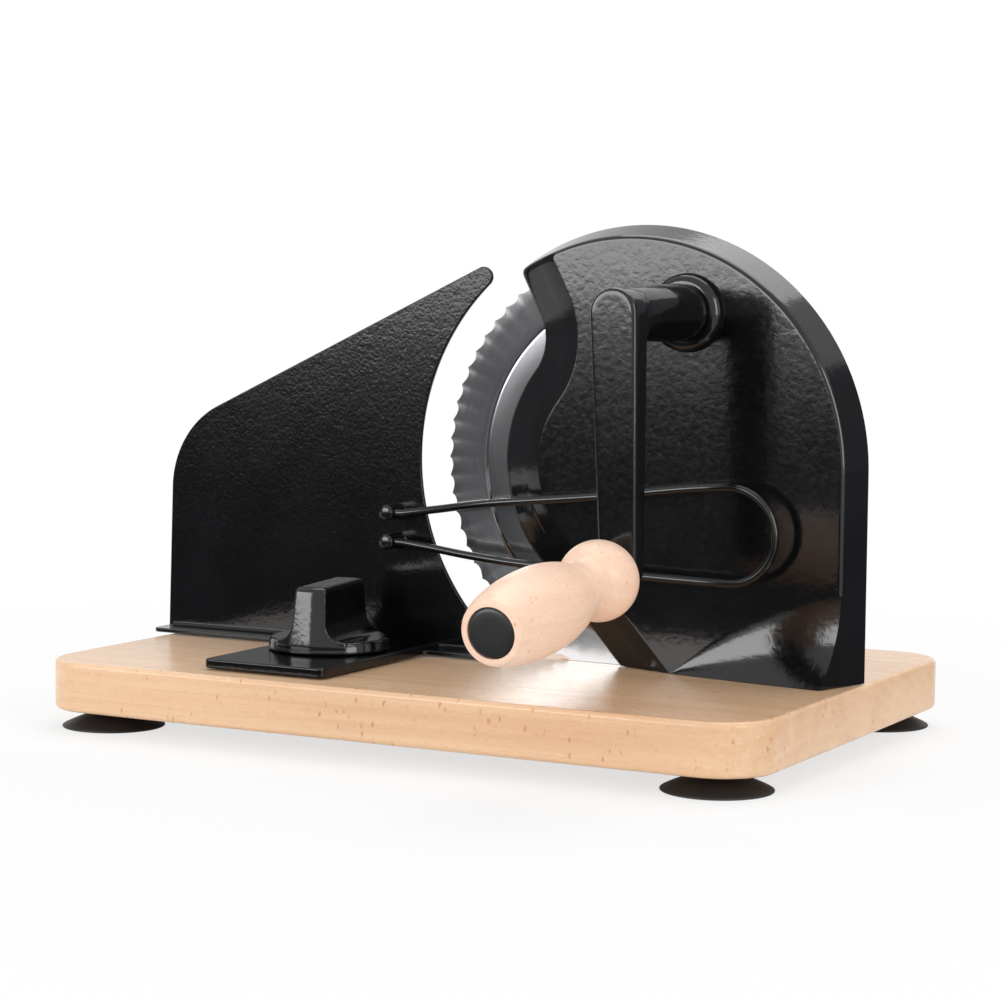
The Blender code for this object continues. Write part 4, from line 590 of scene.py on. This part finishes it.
def screw_shape(shank, head, tip, seat, crown, socket):
    """Dome-headed screw along Z, head down, with a hex socket in its head."""
    sides = 48

    def circle(radius, z):
        return [(*polar(radius, 2 * math.pi * i / sides), z) for i in range(sides)]

    def hexagon(size, z):
        points = []
        for i in range(sides):
            angle = 2 * math.pi * i / sides
            off = (angle + math.pi / 6) % (math.pi / 3) - math.pi / 6
            points.append((*polar(size / math.cos(off), angle), z))
        return points

    dome = [circle(head * wide, seat - crown * down)
            for wide, down in ((1, 0), (1, 0.35), (0.93, 0.62), (0.78, 0.85), (0.6, 0.98))]
    return skin([circle(shank * 0.6, tip), circle(shank, tip - shank * 0.6),
                 circle(shank, seat), *dome, hexagon(socket, seat - crown),
                 hexagon(socket * 0.96, seat - crown * 0.35)])


def put_screw(name, body, place, **sizes):
    put(name + "_dressed", move(screw_shape(**sizes), place), body, plated, [name],
        sharp=30)


def make_screws():
    corners = [(x, y) for y in (-FOOT_Y, FOOT_Y) for x in (-FOOT_X, FOOT_X)]
    for i, (x, y) in enumerate(corners):
        put_screw(f"foot_screw_{i + 1}", "base", shift(x, y, 0), shank=0.0021, head=0.0046,
                  tip=0.0127, seat=-0.0037, crown=0.0028, socket=0.0016)
    for i, x in enumerate(HOUSING_SCREWS):
        put_screw(f"housing_screw_{i + 1}", "base", shift(x, HOUSING_SCREW_Y, 0), shank=0.0022,
                  head=0.0044, tip=0.0337, seat=0.0047, crown=0.0032, socket=0.0018)
    circle, count = 0.028, 3
    low = box_from_home("blade_screw_1")[0]
    for i in range(count):
        x, z = polar(circle, 2 * math.pi * (i + 0.25) / count, (BLADE_X, BLADE_Z))
        put_screw(f"blade_screw_{i + 1}", "blade", shift(x, 0, z) @ UPRIGHT, shank=0.0015,
                  head=0.003, tip=-low.y, seat=-0.0065, crown=0.0014, socket=0.0011)
    low = box_from_home("axle_screw")[0]
    put_screw("axle_screw", "base", shift(BLADE_X, 0, BLADE_Z) @ UPRIGHT, shank=0.002,
              head=0.004, tip=-low.y, seat=-0.0076, crown=0.0018, socket=0.0015)


# Housing

def housing_ring(y, rim_inset, cut_inset, floor=HOUSING_BASE):
    """Outline at one depth: rim, right wall, foot, leg, slice edge, notch and tip."""
    nose = 0.0030                    # how far the tip's rounding reaches each way
    rim = HOUSING_RADIUS - rim_inset
    edge = CUT_RADIUS - cut_inset
    notch = NOTCH_RADIUS + cut_inset
    notch_centre = polar(CUT_RADIUS + NOTCH_RADIUS, NOTCH_BEARING)

    start = polar(notch, TIP_BEARING - QUARTER, notch_centre)
    aim = polar(1, TIP_BEARING)
    along = start[0] * aim[0] + start[1] * aim[1]
    reach = -along + math.sqrt(along ** 2 - start[0] ** 2 - start[1] ** 2 + rim ** 2)
    tip = (start[0] + aim[0] * reach, start[1] + aim[1] * reach)
    tip_angle = math.atan2(tip[1], tip[0])
    after_tip = polar(rim, tip_angle - nose / rim)
    before_tip = (tip[0] - aim[0] * nose, tip[1] - aim[1] * nose)
    corner = [tuple((1 - t) ** 2 * b + 2 * t * (1 - t) * m + t ** 2 * a
                    for b, m, a in zip(before_tip, tip, after_tip))
              for t in (0.0, 0.2, 0.4, 0.6, 0.8)]

    bottom = floor - BLADE_Z
    leg_start = polar(edge, LEG_BEARING)
    leg_aim = polar(1, LEG_BEARING + QUARTER)
    leg_end = (leg_start[0] + leg_aim[0] * (bottom - leg_start[1]) / leg_aim[1], bottom)

    points = arc(rim, tip_angle - nose / rim, 0.0, 96)
    points += [(rim, bottom * t) for t in (0.25, 0.5, 0.75, 1.0)]
    points += [(rim + (leg_end[0] - rim) * t, bottom) for t in (0.25, 0.5, 0.75)]
    points += [leg_end] + arc(edge, LEG_BEARING, NOTCH_BEARING, 48)
    points += arc(notch, NOTCH_BEARING + math.pi, TIP_BEARING + 3 * QUARTER, 22,
                  notch_centre)[1:]
    points += corner
    return [(BLADE_X + x, y, BLADE_Z + z) for x, z in points]


def cut_slope(y):
    """How far the slice bevel has come in at a depth."""
    return CUT_BEVEL * (CUT_Y - y) / (CUT_Y - HOUSING_FACE)


def make_flare():
    """Cone-shaped cove that grows from the face's lower left corner to the right wall."""
    apex = Vector((0.0871, HOUSING_FACE, HOUSING_BASE))
    reach, depth, height = 0.072, 0.0122, 0.038
    into_wall, steps = 0.0015, 24
    radius = (depth ** 2 + height ** 2) / (2 * depth)
    sweep = math.asin(height / radius)
    cove = [(radius * (math.cos(a) - 1), height - radius * math.sin(a))
            for a in (sweep * i / steps for i in range(steps + 1))]
    section = [(into_wall, height)] + cove + [(into_wall, 0.0)]
    rings = []
    for t in (0.01, 0.08, 0.16, 0.25, 0.34, 0.44, 0.55, 0.67, 0.80, 0.94, 1.07, 1.20):
        tall, deep = math.sin(QUARTER * min(1.0, t / 1.1)) ** 0.9, t ** 0.75
        rings.append([apex + Vector((reach * t, y * deep, z * tall)) for y, z in section])
    bm = skin(rings)
    cut = bmesh.ops.bisect_plane(bm, geom=bm.verts[:] + bm.edges[:] + bm.faces[:],
                                 plane_co=(BLADE_X + HOUSING_RADIUS, HOUSING_BACK, 0),
                                 plane_no=(1, -DRAFT, 0), clear_outer=True)
    rim = [e for e in cut["geom_cut"] if isinstance(e, bmesh.types.BMEdge)]
    bmesh.ops.holes_fill(bm, edges=rim, sides=0)
    return bm


def make_shell():
    """The casting's outside: drafted rim, slice bevel and rounded face."""
    depth = HOUSING_BACK - HOUSING_FACE
    rounding, rim_share, sweep, sweep_depth = 0.0016, 0.8, 0.0034, 0.0040
    rings = [housing_ring(HOUSING_BACK - back, inset, 0.0)
             for back, inset in ((0.0, 0.0006), (0.0003, 0.0001), (0.0012, 0.0004))]
    for y, inset in ((CUT_Y, 0.0), (2.7e-3, 0.0002), (2.1e-3, 0.0007), (1.5e-3, 0.0016),
                     (0.9e-3, 0.0029), (-1e-3, 0.0067)):
        rings.append(housing_ring(y, (HOUSING_BACK - y) * DRAFT, inset))
    for back in (0.0040, 0.0032, 0.0024, 0.0016, 0.0011, 0.0006, 0.00025, 0.00006, 0.0):
        round_in = rounding - math.sqrt(max(0.0, rounding ** 2 - max(0.0, rounding - back) ** 2))
        y = HOUSING_FACE + back
        rings.append(housing_ring(y, (depth - back) * DRAFT + round_in * rim_share,
                                  cut_slope(y) + sweep * max(0.0, 1 - back / sweep_depth) ** 2))
    margin = 0.0008
    rings.append(housing_ring(HOUSING_FACE, depth * DRAFT + rounding * rim_share + margin,
                              CUT_BEVEL + sweep + margin))
    return skin(rings)


def make_hollow():
    edge = 0.004
    floor = HOUSING_BASE + edge
    inside = HOUSING_FACE + HOUSING_WALL
    rings = ((HOUSING_BACK + PAST, edge), (CUT_Y, edge), (inside, cut_slope(inside) + edge))
    return skin([housing_ring(y, (HOUSING_BACK - y) * DRAFT + HOUSING_WALL, inset, floor)
                 for y, inset in rings])


def make_collar():
    radius, shoulder, back, foot, foot_top = 0.0165, 0.004, 0.005, 0.0003, 0.0078
    centre = (radius - shoulder, -COLLAR_FRONT - shoulder)
    collar = turn([(0.0, -COLLAR_FRONT)] + quarter_round(shoulder, 8, centre)
                  + [(radius, foot_top), (radius + foot, foot_top - 0.0007),
                     (radius + foot, back), (0.0, back)], 96)
    return move(collar, shift(CRANK_X, 0, CRANK_Z) @ UPRIGHT)


def make_housing():
    def bar(radius, x, z, front, back, sides=64):
        return peg(radius, (x, front, z), (x, back, z), sides)

    boss_front, boss_back = -0.005, -0.0008
    axle_bore, bush_bore, blade_room, blade_back = 0.0053, 0.0086, 0.0024, 0.02
    screw_boss, boss_floor, boss_top = 0.0052, HOUSING_BASE + 0.002, HOUSING_BASE + 0.020
    bm = carve(make_shell(), ("UNION", make_flare()), ("DIFFERENCE", make_hollow()),
               ("UNION", make_collar()),
               ("UNION", bar(BOSS_RADIUS, BLADE_X, BLADE_Z, boss_front, boss_back)),
               ("UNION", bar(BOSS_RADIUS, CRANK_X, CRANK_Z, boss_front, boss_back)),
               ("UNION", bars_at_housing_screws(screw_boss, boss_floor, boss_top, 32)),
               ("DIFFERENCE", bar(BLADE_RADIUS + blade_room, BLADE_X, BLADE_Z, CUT_Y,
                                  blade_back, 256)),
               ("DIFFERENCE", bar(axle_bore, BLADE_X, BLADE_Z, boss_front - PAST / 2, PAST)),
               ("DIFFERENCE", bar(bush_bore, CRANK_X, CRANK_Z, COLLAR_FRONT - PAST, PAST)))
    put("housing_dressed", bm, "base", casting, ["housing"], sharp=28,
        weighted=True)


# Blade

def blade_ring(radius, y, teeth=0.0):
    """Ring about the blade's axis; teeth is how deep its scallops are."""
    points = 8                       # of each tooth
    ring = []
    for i in range(BLADE_TEETH * points):
        part = (i % points) / points
        reach = radius - teeth * math.sin(math.pi * part ** 0.8)
        x, z = polar(reach, 2 * math.pi * i / (BLADE_TEETH * points), (BLADE_X, BLADE_Z))
        ring.append((x, y, z))
    return ring


def make_blade():
    """Dished disc with a hollow zone, a pressed step, a slanted rim and a scalloped edge."""
    dish, hollow, rise, tooth = 0.0022, 0.0016, 0.0006, 0.0016
    bore, flat_end, step, rim, root = 0.0073, 0.0520, 0.0733, 0.0776, 0.0888
    disc = ((bore, -dish), (flat_end, -dish), (0.0560, hollow - dish), (0.0580, hollow - dish),
            (step, -dish))
    front_step = ((0.0742, 0.0001 - dish), (0.0750, -0.0014), (0.0758, -0.0005),
                  (0.0766, 0.0002), (rim, rise), (root, -0.0001))
    back_step = ((root, 0.0), (0.0782, 0.0), (0.0772, -0.0001), (0.0762, -0.0006),
                 (0.0753, -0.0016), (0.0745, 0.0001 - dish))
    edge = ((0.0920, -0.00023, 0.0010), (BLADE_RADIUS - 0.0001, -0.0003, tooth),
            (BLADE_RADIUS, -0.0002, tooth), (BLADE_RADIUS - 0.0001, -0.0001, tooth))
    rings = [blade_ring(radius, BLADE_FRONT + y) for radius, y in disc + front_step]
    rings += [blade_ring(radius, BLADE_FRONT + y, teeth) for radius, y, teeth in edge]
    rings += [blade_ring(root + 0.0005, BLADE_BACK - 0.0001, 0.0002)]
    rings += [blade_ring(radius, BLADE_BACK + y) for radius, y in back_step + disc[::-1]]
    put("blade_dressed", skin(rings, hollow=True), "blade", blade_steel,
        ["blade"], sharp=22)


# Crank and handle

def crank_place():
    return shift(CRANK_X, 0, CRANK_Z) @ rotate(-CRANK_LEAN, "Y")


def handle_place():
    return crank_place() @ shift(0, ARM_FRONT, -CRANK_THROW) @ rotate(DROOP, "X")


def arm_ring(y, inset):
    top, end = ARM_TOP_RADIUS - inset, ARM_END_RADIUS - inset
    lean = math.asin((top - end) / CRANK_THROW)
    outline = (arc(top, -lean, math.pi + lean, 28)
               + arc(end, math.pi + lean, 2 * math.pi - lean, 24, (0.0, -CRANK_THROW)))
    return [(x, y, z) for x, z in outline]


def slanted(points, amount):
    """Lean a ring of the arm's back forward toward the handle's end."""
    return [(x, y + z * amount, z) for x, y, z in points]


def make_arm():
    """Flat bar with round ends and soft rims, thinner toward the handle."""
    slant = (ARM_TOP_THICKNESS - ARM_END_THICKNESS) / CRANK_THROW
    rounding, steps, middle_inset = 0.0016, 5, 0.0030
    soft = [(rounding * (1 - math.sin(QUARTER * i / steps)),
             rounding * (1 - math.cos(QUARTER * i / steps))) for i in range(steps + 1)]
    back = ARM_FRONT + ARM_TOP_THICKNESS
    rings = [arm_ring(ARM_FRONT, middle_inset)]
    rings += [arm_ring(ARM_FRONT + y, inset) for inset, y in soft]
    rings += [slanted(arm_ring(back - y, inset), slant) for inset, y in reversed(soft)]
    rings += [slanted(arm_ring(back, middle_inset), slant)]
    return skin(rings)


def make_crank():
    hub_back, hub_front, lower_front = GAP - COLLAR_FRONT, 0.0750, 0.0680
    swell = [(0.0117, 0.0400), (HUB_SWELL, 0.0200), (HUB_SWELL, hub_back + 0.0007),
             (HUB_SWELL - 0.0006, hub_back), (0.0, hub_back)]
    fillet = [(0.0108 + 0.007 * (1 - math.sin(a)), 0.0600 + 0.0083 * math.cos(a))
              for a in (QUARTER * i / 8 for i in range(9))]
    hub = turn([(0.0, hub_front), (0.0090, hub_front), (0.0090, 0.0690)] + fillet + swell, 96)
    lower = turn([(0.0, lower_front), (0.0094, lower_front), (0.0102, 0.0650),
                  (0.0109, 0.0560)] + swell, 96)
    move(hub, UPRIGHT)
    move(lower, UPRIGHT)
    column = slab([(x, -z) for x, y, z in arm_ring(0.0, 0.0006)], ARM_FRONT, -0.0100)
    move(column, rotate(-QUARTER, "X"))
    hub = carve(hub, ("INTERSECT", column))
    bm = fuse([make_arm(), hub, lower], grain=0.00055, passes=6)
    move(bm, crank_place())
    put("crank_dressed", bm, "crank", casting, ["crank"], sharp=80)


def smooth_through(points, steps):
    """Catmull-Rom points through a few chosen ones."""
    vectors = [Vector(p) for p in points]
    padded = [2 * vectors[0] - vectors[1], *vectors, 2 * vectors[-1] - vectors[-2]]
    result = []
    for a, b, c, d in zip(padded, padded[1:], padded[2:], padded[3:]):
        for i in range(steps):
            t = i / steps
            result.append(0.5 * (2 * b + (c - a) * t + (2 * a - 5 * b + 4 * c - d) * t ** 2
                                 + (3 * b - a - 3 * c + d) * t ** 3))
    return result + [vectors[-1]]


def make_handle():
    start, seat, ball, neck = 0.0010, 0.0067, 0.0163, 0.0117
    wood_end, rounding, plug_seat, plug_floor = 0.1065, 0.0016, 0.0098, 0.1020
    bolt_hole, bush_hole, bush_end, head_hole, head_floor = 0.0038, 0.0055, 0.0190, 0.0066, 0.0862
    ball_start = 0.00194
    centre = ball_start + math.sqrt(ball ** 2 - seat ** 2)
    first = math.pi - math.asin(seat / ball)
    last = math.asin(neck / ball)
    profile = [(seat, start)] + [(r, centre + s) for s, r in arc(ball, first, last, 40)]
    grip = smooth_through([(0.0368, 0.0105), (0.0498, 0.0147), (0.0648, 0.0169),
                           (0.0838, 0.0167), (0.0988, 0.0146), (0.1050, 0.0127)], 12)
    profile += [(p.y, p.x) for p in grip]
    profile += [(grip[-1].y - rounding * (1 - math.cos(a)), grip[-1].x + 0.0015 * math.sin(a))
                for a in (QUARTER * i / 5 for i in range(1, 6))]
    profile += [(plug_seat + 0.0002, wood_end), (plug_seat, wood_end - 0.0002),
                (plug_seat, plug_floor), (head_hole, plug_floor), (head_hole, head_floor),
                (bolt_hole, head_floor), (bolt_hole, bush_end), (bush_hole, bush_end),
                (bush_hole, start)]
    bm = turn(profile, 128, closed=True)
    put("handle_grip_dressed", move(bm, handle_place() @ UPRIGHT), "handle", handle_wood,
        ["handle_grip"], sharp=40)
    plug = turn([(0.0, 0.10665), (0.0050, 0.10662), (0.0080, 0.10655), (0.0089, 0.1063),
                 (0.0094, 0.1059), (0.0095, 0.1052), (0.0095, plug_floor + GAP),
                 (0.0, plug_floor + GAP)], 96)
    put("handle_plug_dressed", move(plug, handle_place() @ UPRIGHT), "handle", plug_plastic,
        ["handle_plug"], sharp=40)


# Stop plate

def plate_outline():
    """Left edge, round corner, slanted top, tip and the blade's arc, in X-Z."""
    low = LIP_BOTTOM + SHEET / 2
    left, right, corner_radius, slope = -0.175, 0.002, 0.044, math.radians(24.6)
    lean, slope_rise = 0.0019, 0.0959
    sweep = QUARTER - slope
    corner_centre = (left + corner_radius,
                     BOARD_TOP + slope_rise - corner_radius * math.tan(sweep / 2))
    corner = arc(corner_radius, math.pi, math.pi - sweep, 28, corner_centre)
    reach, tip_radius, tip_z = 0.1042, 0.0045, BOARD_TOP + 0.1685
    tip_centre = (BLADE_X - math.sqrt((reach + tip_radius) ** 2 - (tip_z - BLADE_Z) ** 2), tip_z)
    bearing = math.atan2(tip_z - BLADE_Z, tip_centre[0] - BLADE_X)
    tip = arc(tip_radius, QUARTER + slope, bearing - math.pi, 16, tip_centre)
    last = math.pi + math.acos((BLADE_X - right) / reach)
    blade_side = arc(reach, bearing, last, 64, (BLADE_X, BLADE_Z))[1:]
    return [(left - lean, low)] + corner + tip + blade_side + [(right, low)]


def front_rounded(left, right, front, back, radius):
    """Outline of a plate in X-Y with its two front corners rounded."""
    return (arc(radius, 2 * QUARTER, 3 * QUARTER, 8, (left + radius, front + radius))
            + arc(radius, 3 * QUARTER, 4 * QUARTER, 8, (right - radius, front + radius))
            + [(right, back), (left, back)])


def make_stop_plate():
    """Upright plate, a lip along the board, a tongue, and the rounded corners between them."""
    plate_back = PLATE_FRONT + SHEET
    upright = slab(plate_outline(), -plate_back, -PLATE_FRONT, edge=0.0006)
    move(upright, UPRIGHT)
    lip_left, lip_right, lip_corner, lip_top = -0.177, 0.0022, 0.0035, LIP_BOTTOM + SHEET
    lip = slab(front_rounded(lip_left, lip_right, LIP_FRONT, plate_back + 0.0002, lip_corner),
               LIP_BOTTOM, lip_top, edge=0.0005)
    tongue_front, tongue_back, tongue_corner = -0.102, PLATE_FRONT + SHEET / 2, 0.003
    tongue = slab(front_rounded(TONGUE_LEFT, TONGUE_RIGHT, tongue_front, tongue_back,
                                tongue_corner), LIP_BOTTOM, LIP_BOTTOM + DECK, 0.0008, 4)

    round_in, overlap, strip_left, strip_right = 0.003, 0.0002, -0.1742, 0.0002
    bend = arc(round_in, 0.0, -QUARTER, 10, (PLATE_FRONT + overlap - round_in,
                                             lip_top - overlap + round_in))
    back, low = PLATE_FRONT + SHEET / 2, LIP_BOTTOM + SHEET / 2
    strip = slab(bend + [(bend[-1][0], low), (back, low), (back, bend[0][1])], strip_left,
                 strip_right)
    move(strip, Matrix(((0, 0, 1, 0), (1, 0, 0, 0), (0, 1, 0, 0), (0, 0, 0, 1))))
    tools = [("UNION", lip), ("UNION", tongue), ("UNION", strip)]

    near, far = 0.0028, 0.0004
    gusset = (arc(round_in, QUARTER, 0.0, 8, (-near, -near))
              + [(far, -near), (far, far), (-near, far)])
    for side, edge in ((-1, TONGUE_LEFT), (1, TONGUE_RIGHT)):
        tools.append(("UNION", slab([(edge - side * x, LIP_FRONT + y) for x, y in gusset],
                                    LIP_BOTTOM + 0.0001, lip_top - 0.0001)))
    put("stop_plate_dressed", carve(upright, *tools), "carriage", plate_enamel,
        ["stop_plate"], sharp=30, weighted=True)


def make_wire_guard():
    """Hairpin of wire that sways away from the plate, from one post to the other."""
    lower_bends = ((-0.024, 0.0481), (-0.005, 0.0463), (0.027, 0.0442), (0.078, 0.0425))
    upper_bends = ((0.096, 0.0802), (0.056, 0.0752), (0.005, 0.0701), (-0.024, 0.0658))
    heights = (0.0499, 0.0630)
    start_x, leave_x, loop_x = -0.0491, -0.043, 0.1185
    loop_height, loop_radius, sway, sway_length = 0.0618, 0.0202, 0.0068, 0.070
    sides = 20

    def place(x, height):
        part = min(1.0, (x - POST_X) / sway_length)
        return Vector((x, POST_WIRE_Y - sway * (3 * part ** 2 - 2 * part ** 3),
                       BOARD_TOP + height))

    low, high = loop_height - loop_radius, loop_height + loop_radius
    lower = smooth_through([(leave_x, heights[0]), *lower_bends, (loop_x - 0.001, low)], 8)
    upper = smooth_through([(loop_x - 0.001, high), *upper_bends, (leave_x, heights[1])], 8)
    loop = arc(loop_radius, -QUARTER, QUARTER, 36, (loop_x, loop_height))
    route = [place(*p) for p in [(start_x, heights[0]), *lower, *loop, *upper,
                                 (start_x, heights[1])]]
    rings = []
    away = Vector((0, 1, 0))
    for before, here, after in zip([route[0]] + route, route, route[1:] + [route[-1]]):
        ahead = (after - before).normalized()
        out = ahead.cross(away).normalized()
        across = out.cross(ahead)
        rings.append([here + out * x + across * y
                      for x, y in (polar(WIRE_RADIUS, 2 * math.pi * i / sides)
                                   for i in range(sides))])
    put("wire_guard_dressed", skin(rings), "carriage", wire_enamel,
        ["wire_guard"], sharp=40)
    for node, height in zip(("guard_post_lower", "guard_post_upper"), heights):
        make_guard_post(node, BOARD_TOP + height)


def make_guard_post(node, z):
    length, crown_rise, back, foot = 0.0170, 0.0012, 0.0043, 0.0004
    crown = [(POST_RADIUS * math.sin(a), length - crown_rise * (1 - math.cos(a)))
             for a in (QUARTER * i / 8 for i in range(9))]
    post = turn(crown + [(POST_RADIUS, back + 0.0005), (POST_RADIUS + foot, back),
                         (0.0, back)], 48)
    move(post, shift(POST_X, 0, z) @ UPRIGHT)
    hole = peg(WIRE_RADIUS + GAP, (POST_X, POST_WIRE_Y, z), (POST_X + 0.010, POST_WIRE_Y, z), 32)
    put(node + "_dressed", carve(post, ("DIFFERENCE", hole)), "carriage", wire_enamel,
        [node], sharp=40)


# Knob

def make_knob():
    """Round base with a waisted grip ridge across it, its ends leaning in."""
    deck, height, half_length, crest_length = 0.0055, 0.0290, 0.027, 0.0208
    fillet, waist, top, crest_round, end_round = 0.0085, 0.0076, 0.0070, 0.0016, 0.003
    base = turn([(0.0, deck + 0.0001), (0.0250, deck), (0.0257, 0.0053), (0.0262, 0.0048),
                 (0.0264, 0.0042), (0.0269, 0.0010), (0.0268, 0.0003), (0.0264, 0.0),
                 (0.0, 0.0)], 128)
    centre = (waist + fillet, deck + fillet)
    side = arc(fillet, -QUARTER, -math.pi, 16, centre)
    crest = [(top, height - crest_round), (top - 0.0005, height - 0.0006),
             (top - crest_round, height)]
    right = [(centre[0], 0.0030)] + side + crest
    ridge = slab(right + [(-x, z) for x, z in reversed(right)], -half_length, half_length)
    move(ridge, UPRIGHT)
    shell = turn([(0.0, height)] + quarter_round(end_round, 6, (crest_length,
                                                                height - end_round))
                 + [(0.02675, 0.0042), (half_length, 0.0010), (0.0, 0.001)], 128)
    bm = fuse([base, carve(ridge, ("INTERSECT", shell))], grain=0.00042, passes=4)
    move(bm, shift(KNOB_X, KNOB_Y, KNOB_Z) @ rotate(KNOB_TURNED, "Z"))
    put("knob_dressed", bm, "knob", knob_enamel, ["knob"], sharp=80)


def dress_the_rest():
    """Give the carried-over nodes their finishes."""
    finishes = {"steel": plated, "bronze": oiled_bronze, "gear_plastic": nylon,
                "slide_plastic": acetal, "beech": board_wood, "black_cast": casting}
    slots = {p["node"]: p["material_slot"] for p in frame["record"]["subparts"]}
    for name, node in frame["nodes"].items():
        finish = finishes.get(slots[name])
        if finish:
            for holder in node.material_slots:
                holder.material = finish


# Floor, light and camera

def seen_or_mirrored(tree):
    """1 where the eye, a mirror image or a view through glass meets it, 0 for the light."""
    path = add(tree, "LightPath").outputs
    direct = worked(tree, path["Is Camera Ray"], path["Is Glossy Ray"], "MAXIMUM")
    return worked(tree, direct, path["Is Transmission Ray"], "MAXIMUM")


def make_floor():
    """White floor that keeps the object's shadow and turns to plain white away from it."""
    near, far, near_glow = 0.16, 0.55, 0.70
    bm = bmesh.new()
    bmesh.ops.create_circle(bm, cap_ends=True, segments=96, radius=FLOOR_RADIUS,
                            matrix=HOME @ shift(0, 0, FLOOR_Z))
    floor = rough_object(bm, "floor")
    material, tree, shader, place = blank_finish("floor_white")
    shader.inputs["Base Color"].default_value = (0.80, 0.80, 0.80, 1)
    shader.inputs["Roughness"].default_value = 0.9
    glow = add(tree, "Emission", {"Color": (1, 1, 1, 1), "Strength": 1.0})
    away = add(tree, "VectorMath", {0: place}, operation="LENGTH").outputs["Value"]
    share = worked(tree, seen_or_mirrored(tree), level(tree, away, near_glow, 1.0, near, far),
                   "MULTIPLY")
    blend = add(tree, "MixShader", {0: share, 1: shader.outputs["BSDF"],
                                    2: glow.outputs["Emission"]})
    tree.links.new(blend.outputs["Shader"],
                   tree.nodes["Material Output"].inputs["Surface"])
    floor.data.materials.append(material)


def make_card(name, grey, *corners):
    """Dark card that shows only in mirror images, as the dark side of a studio does."""
    bm = bmesh.new()
    ring_of(bm, corners)
    bmesh.ops.contextual_create(bm, geom=bm.edges[:])
    card = rough_object(move(bm, HOME), name)
    material, tree = blank_finish(name)[:2]
    glow = add(tree, "Emission", {"Color": (grey, grey, grey * 1.06, 1), "Strength": 1.0})
    tree.links.new(glow.outputs["Emission"], tree.nodes["Material Output"].inputs["Surface"])
    card.data.materials.append(material)
    card.visible_camera = False
    card.visible_diffuse = False
    card.visible_shadow = False
    card.visible_transmission = False


def make_cards():
    right_near, right_far = (3.0, 0.4), (0.6, 2.6)
    left_near, left_far = (-4.0, -3.3), (-4.0, 0.5)
    right_top, left_top = 1.4, 3.2
    make_card("front_card", 0.08, (-4.6, -4, CARD_Z), (1.2, -4, CARD_Z), (0.30, -0.16, CARD_Z),
              (-0.30, -0.16, CARD_Z))
    make_card("right_card", 0.20, (*right_far, CARD_Z), (*right_near, CARD_Z),
              (*right_near, right_top), (*right_far, right_top))
    make_card("right_floor_card", 0.12, (0.22, -0.10, CARD_Z), (*right_near, CARD_Z),
              (*right_far, CARD_Z), (0.22, 0.30, CARD_Z))
    make_card("left_card", 0.22, (*left_near, CARD_Z), (*left_far, CARD_Z),
              (*left_far, left_top), (*left_near, left_top))
    make_card("left_floor_card", 0.20, (-1.0, -0.75, CARD_Z), (*left_near, CARD_Z),
              (*left_far, CARD_Z), (-1.0, 0.12, CARD_Z))


def make_light(name, place, target, size, radiance):
    """Soft box that lights the object and shows in its mirror images, but not to the eye."""
    lamp = bpy.data.lights.new(name, "AREA")
    lamp.shape = "RECTANGLE"
    lamp.size, lamp.size_y = size
    lamp.energy = radiance * size[0] * size[1] * math.pi
    light = bpy.data.objects.new(name, lamp)
    bpy.context.scene.collection.objects.link(light)
    light.matrix_world = HOME @ shift(*place) @ (Vector(target) - Vector(place)).to_track_quat(
        "-Z", "Y").to_matrix().to_4x4()
    light.visible_camera = False


def make_lights():
    make_light("front_left_box", (-0.75, -1.45, 0.48), target=(0.0, 0, 0.10), size=(1.1, 0.6),
               radiance=6.6)
    make_light("top_box", (0.0, 0.5, 1.5), target=(0.0, 0, 0.0), size=(1.4, 1.2), radiance=2.6)
    make_light("right_box", (1.5, -0.55, 0.55), target=(0.0, 0, 0.08), size=(0.6, 1.0),
               radiance=5.4)


def make_world():
    """White to the eye and in mirror images, dimmer as light on the object."""
    world = bpy.data.worlds.new("studio")
    bpy.context.scene.world = world
    world.use_nodes = True
    tree = world.node_tree
    dim = tree.nodes["Background"]
    dim.inputs["Color"].default_value = (1, 1, 1, 1)
    dim.inputs["Strength"].default_value = 0.55
    white = add(tree, "Background", {"Color": (1, 1, 1, 1), "Strength": 1.0})
    blend = add(tree, "MixShader", {0: seen_or_mirrored(tree), 1: dim.outputs["Background"],
                                    2: white.outputs["Background"]})
    tree.links.new(blend.outputs["Shader"], tree.nodes["World Output"].inputs["Surface"])


def make_camera():
    """The photograph's camera, from a fit to the board's corners, the rim and the feet."""
    eye = (0.54201, -1.00700, 0.18336)
    yaw, pitch, roll = math.radians(-28.308), math.radians(4.577), math.radians(0.531)
    focal_pixels, frame_pixels, sensor = 2588.7, 1001, 36
    ahead = Vector((math.sin(yaw) * math.cos(pitch), math.cos(yaw) * math.cos(pitch),
                    -math.sin(pitch)))
    right = Vector((math.cos(yaw), -math.sin(yaw), 0))
    up = right.cross(ahead)
    across = right * math.cos(roll) + up * math.sin(roll)
    above = up * math.cos(roll) - right * math.sin(roll)
    lens = bpy.data.cameras.new("camera")
    lens.sensor_width = sensor
    lens.lens = focal_pixels / frame_pixels * sensor
    camera = bpy.data.objects.new("camera", lens)
    bpy.context.scene.collection.objects.link(camera)
    turned = Matrix((across, above, -ahead)).transposed().to_4x4()
    camera.matrix_world = HOME @ shift(*eye) @ turned
    bpy.context.scene.camera = camera


make_board()
make_feet()
make_screws()
make_housing()
make_blade()
make_crank()
make_handle()
make_stop_plate()
make_wire_guard()
make_knob()
dress_the_rest()
make_floor()
make_cards()
make_world()
make_lights()
make_camera()
bpy.context.scene.view_settings.view_transform = "Standard"
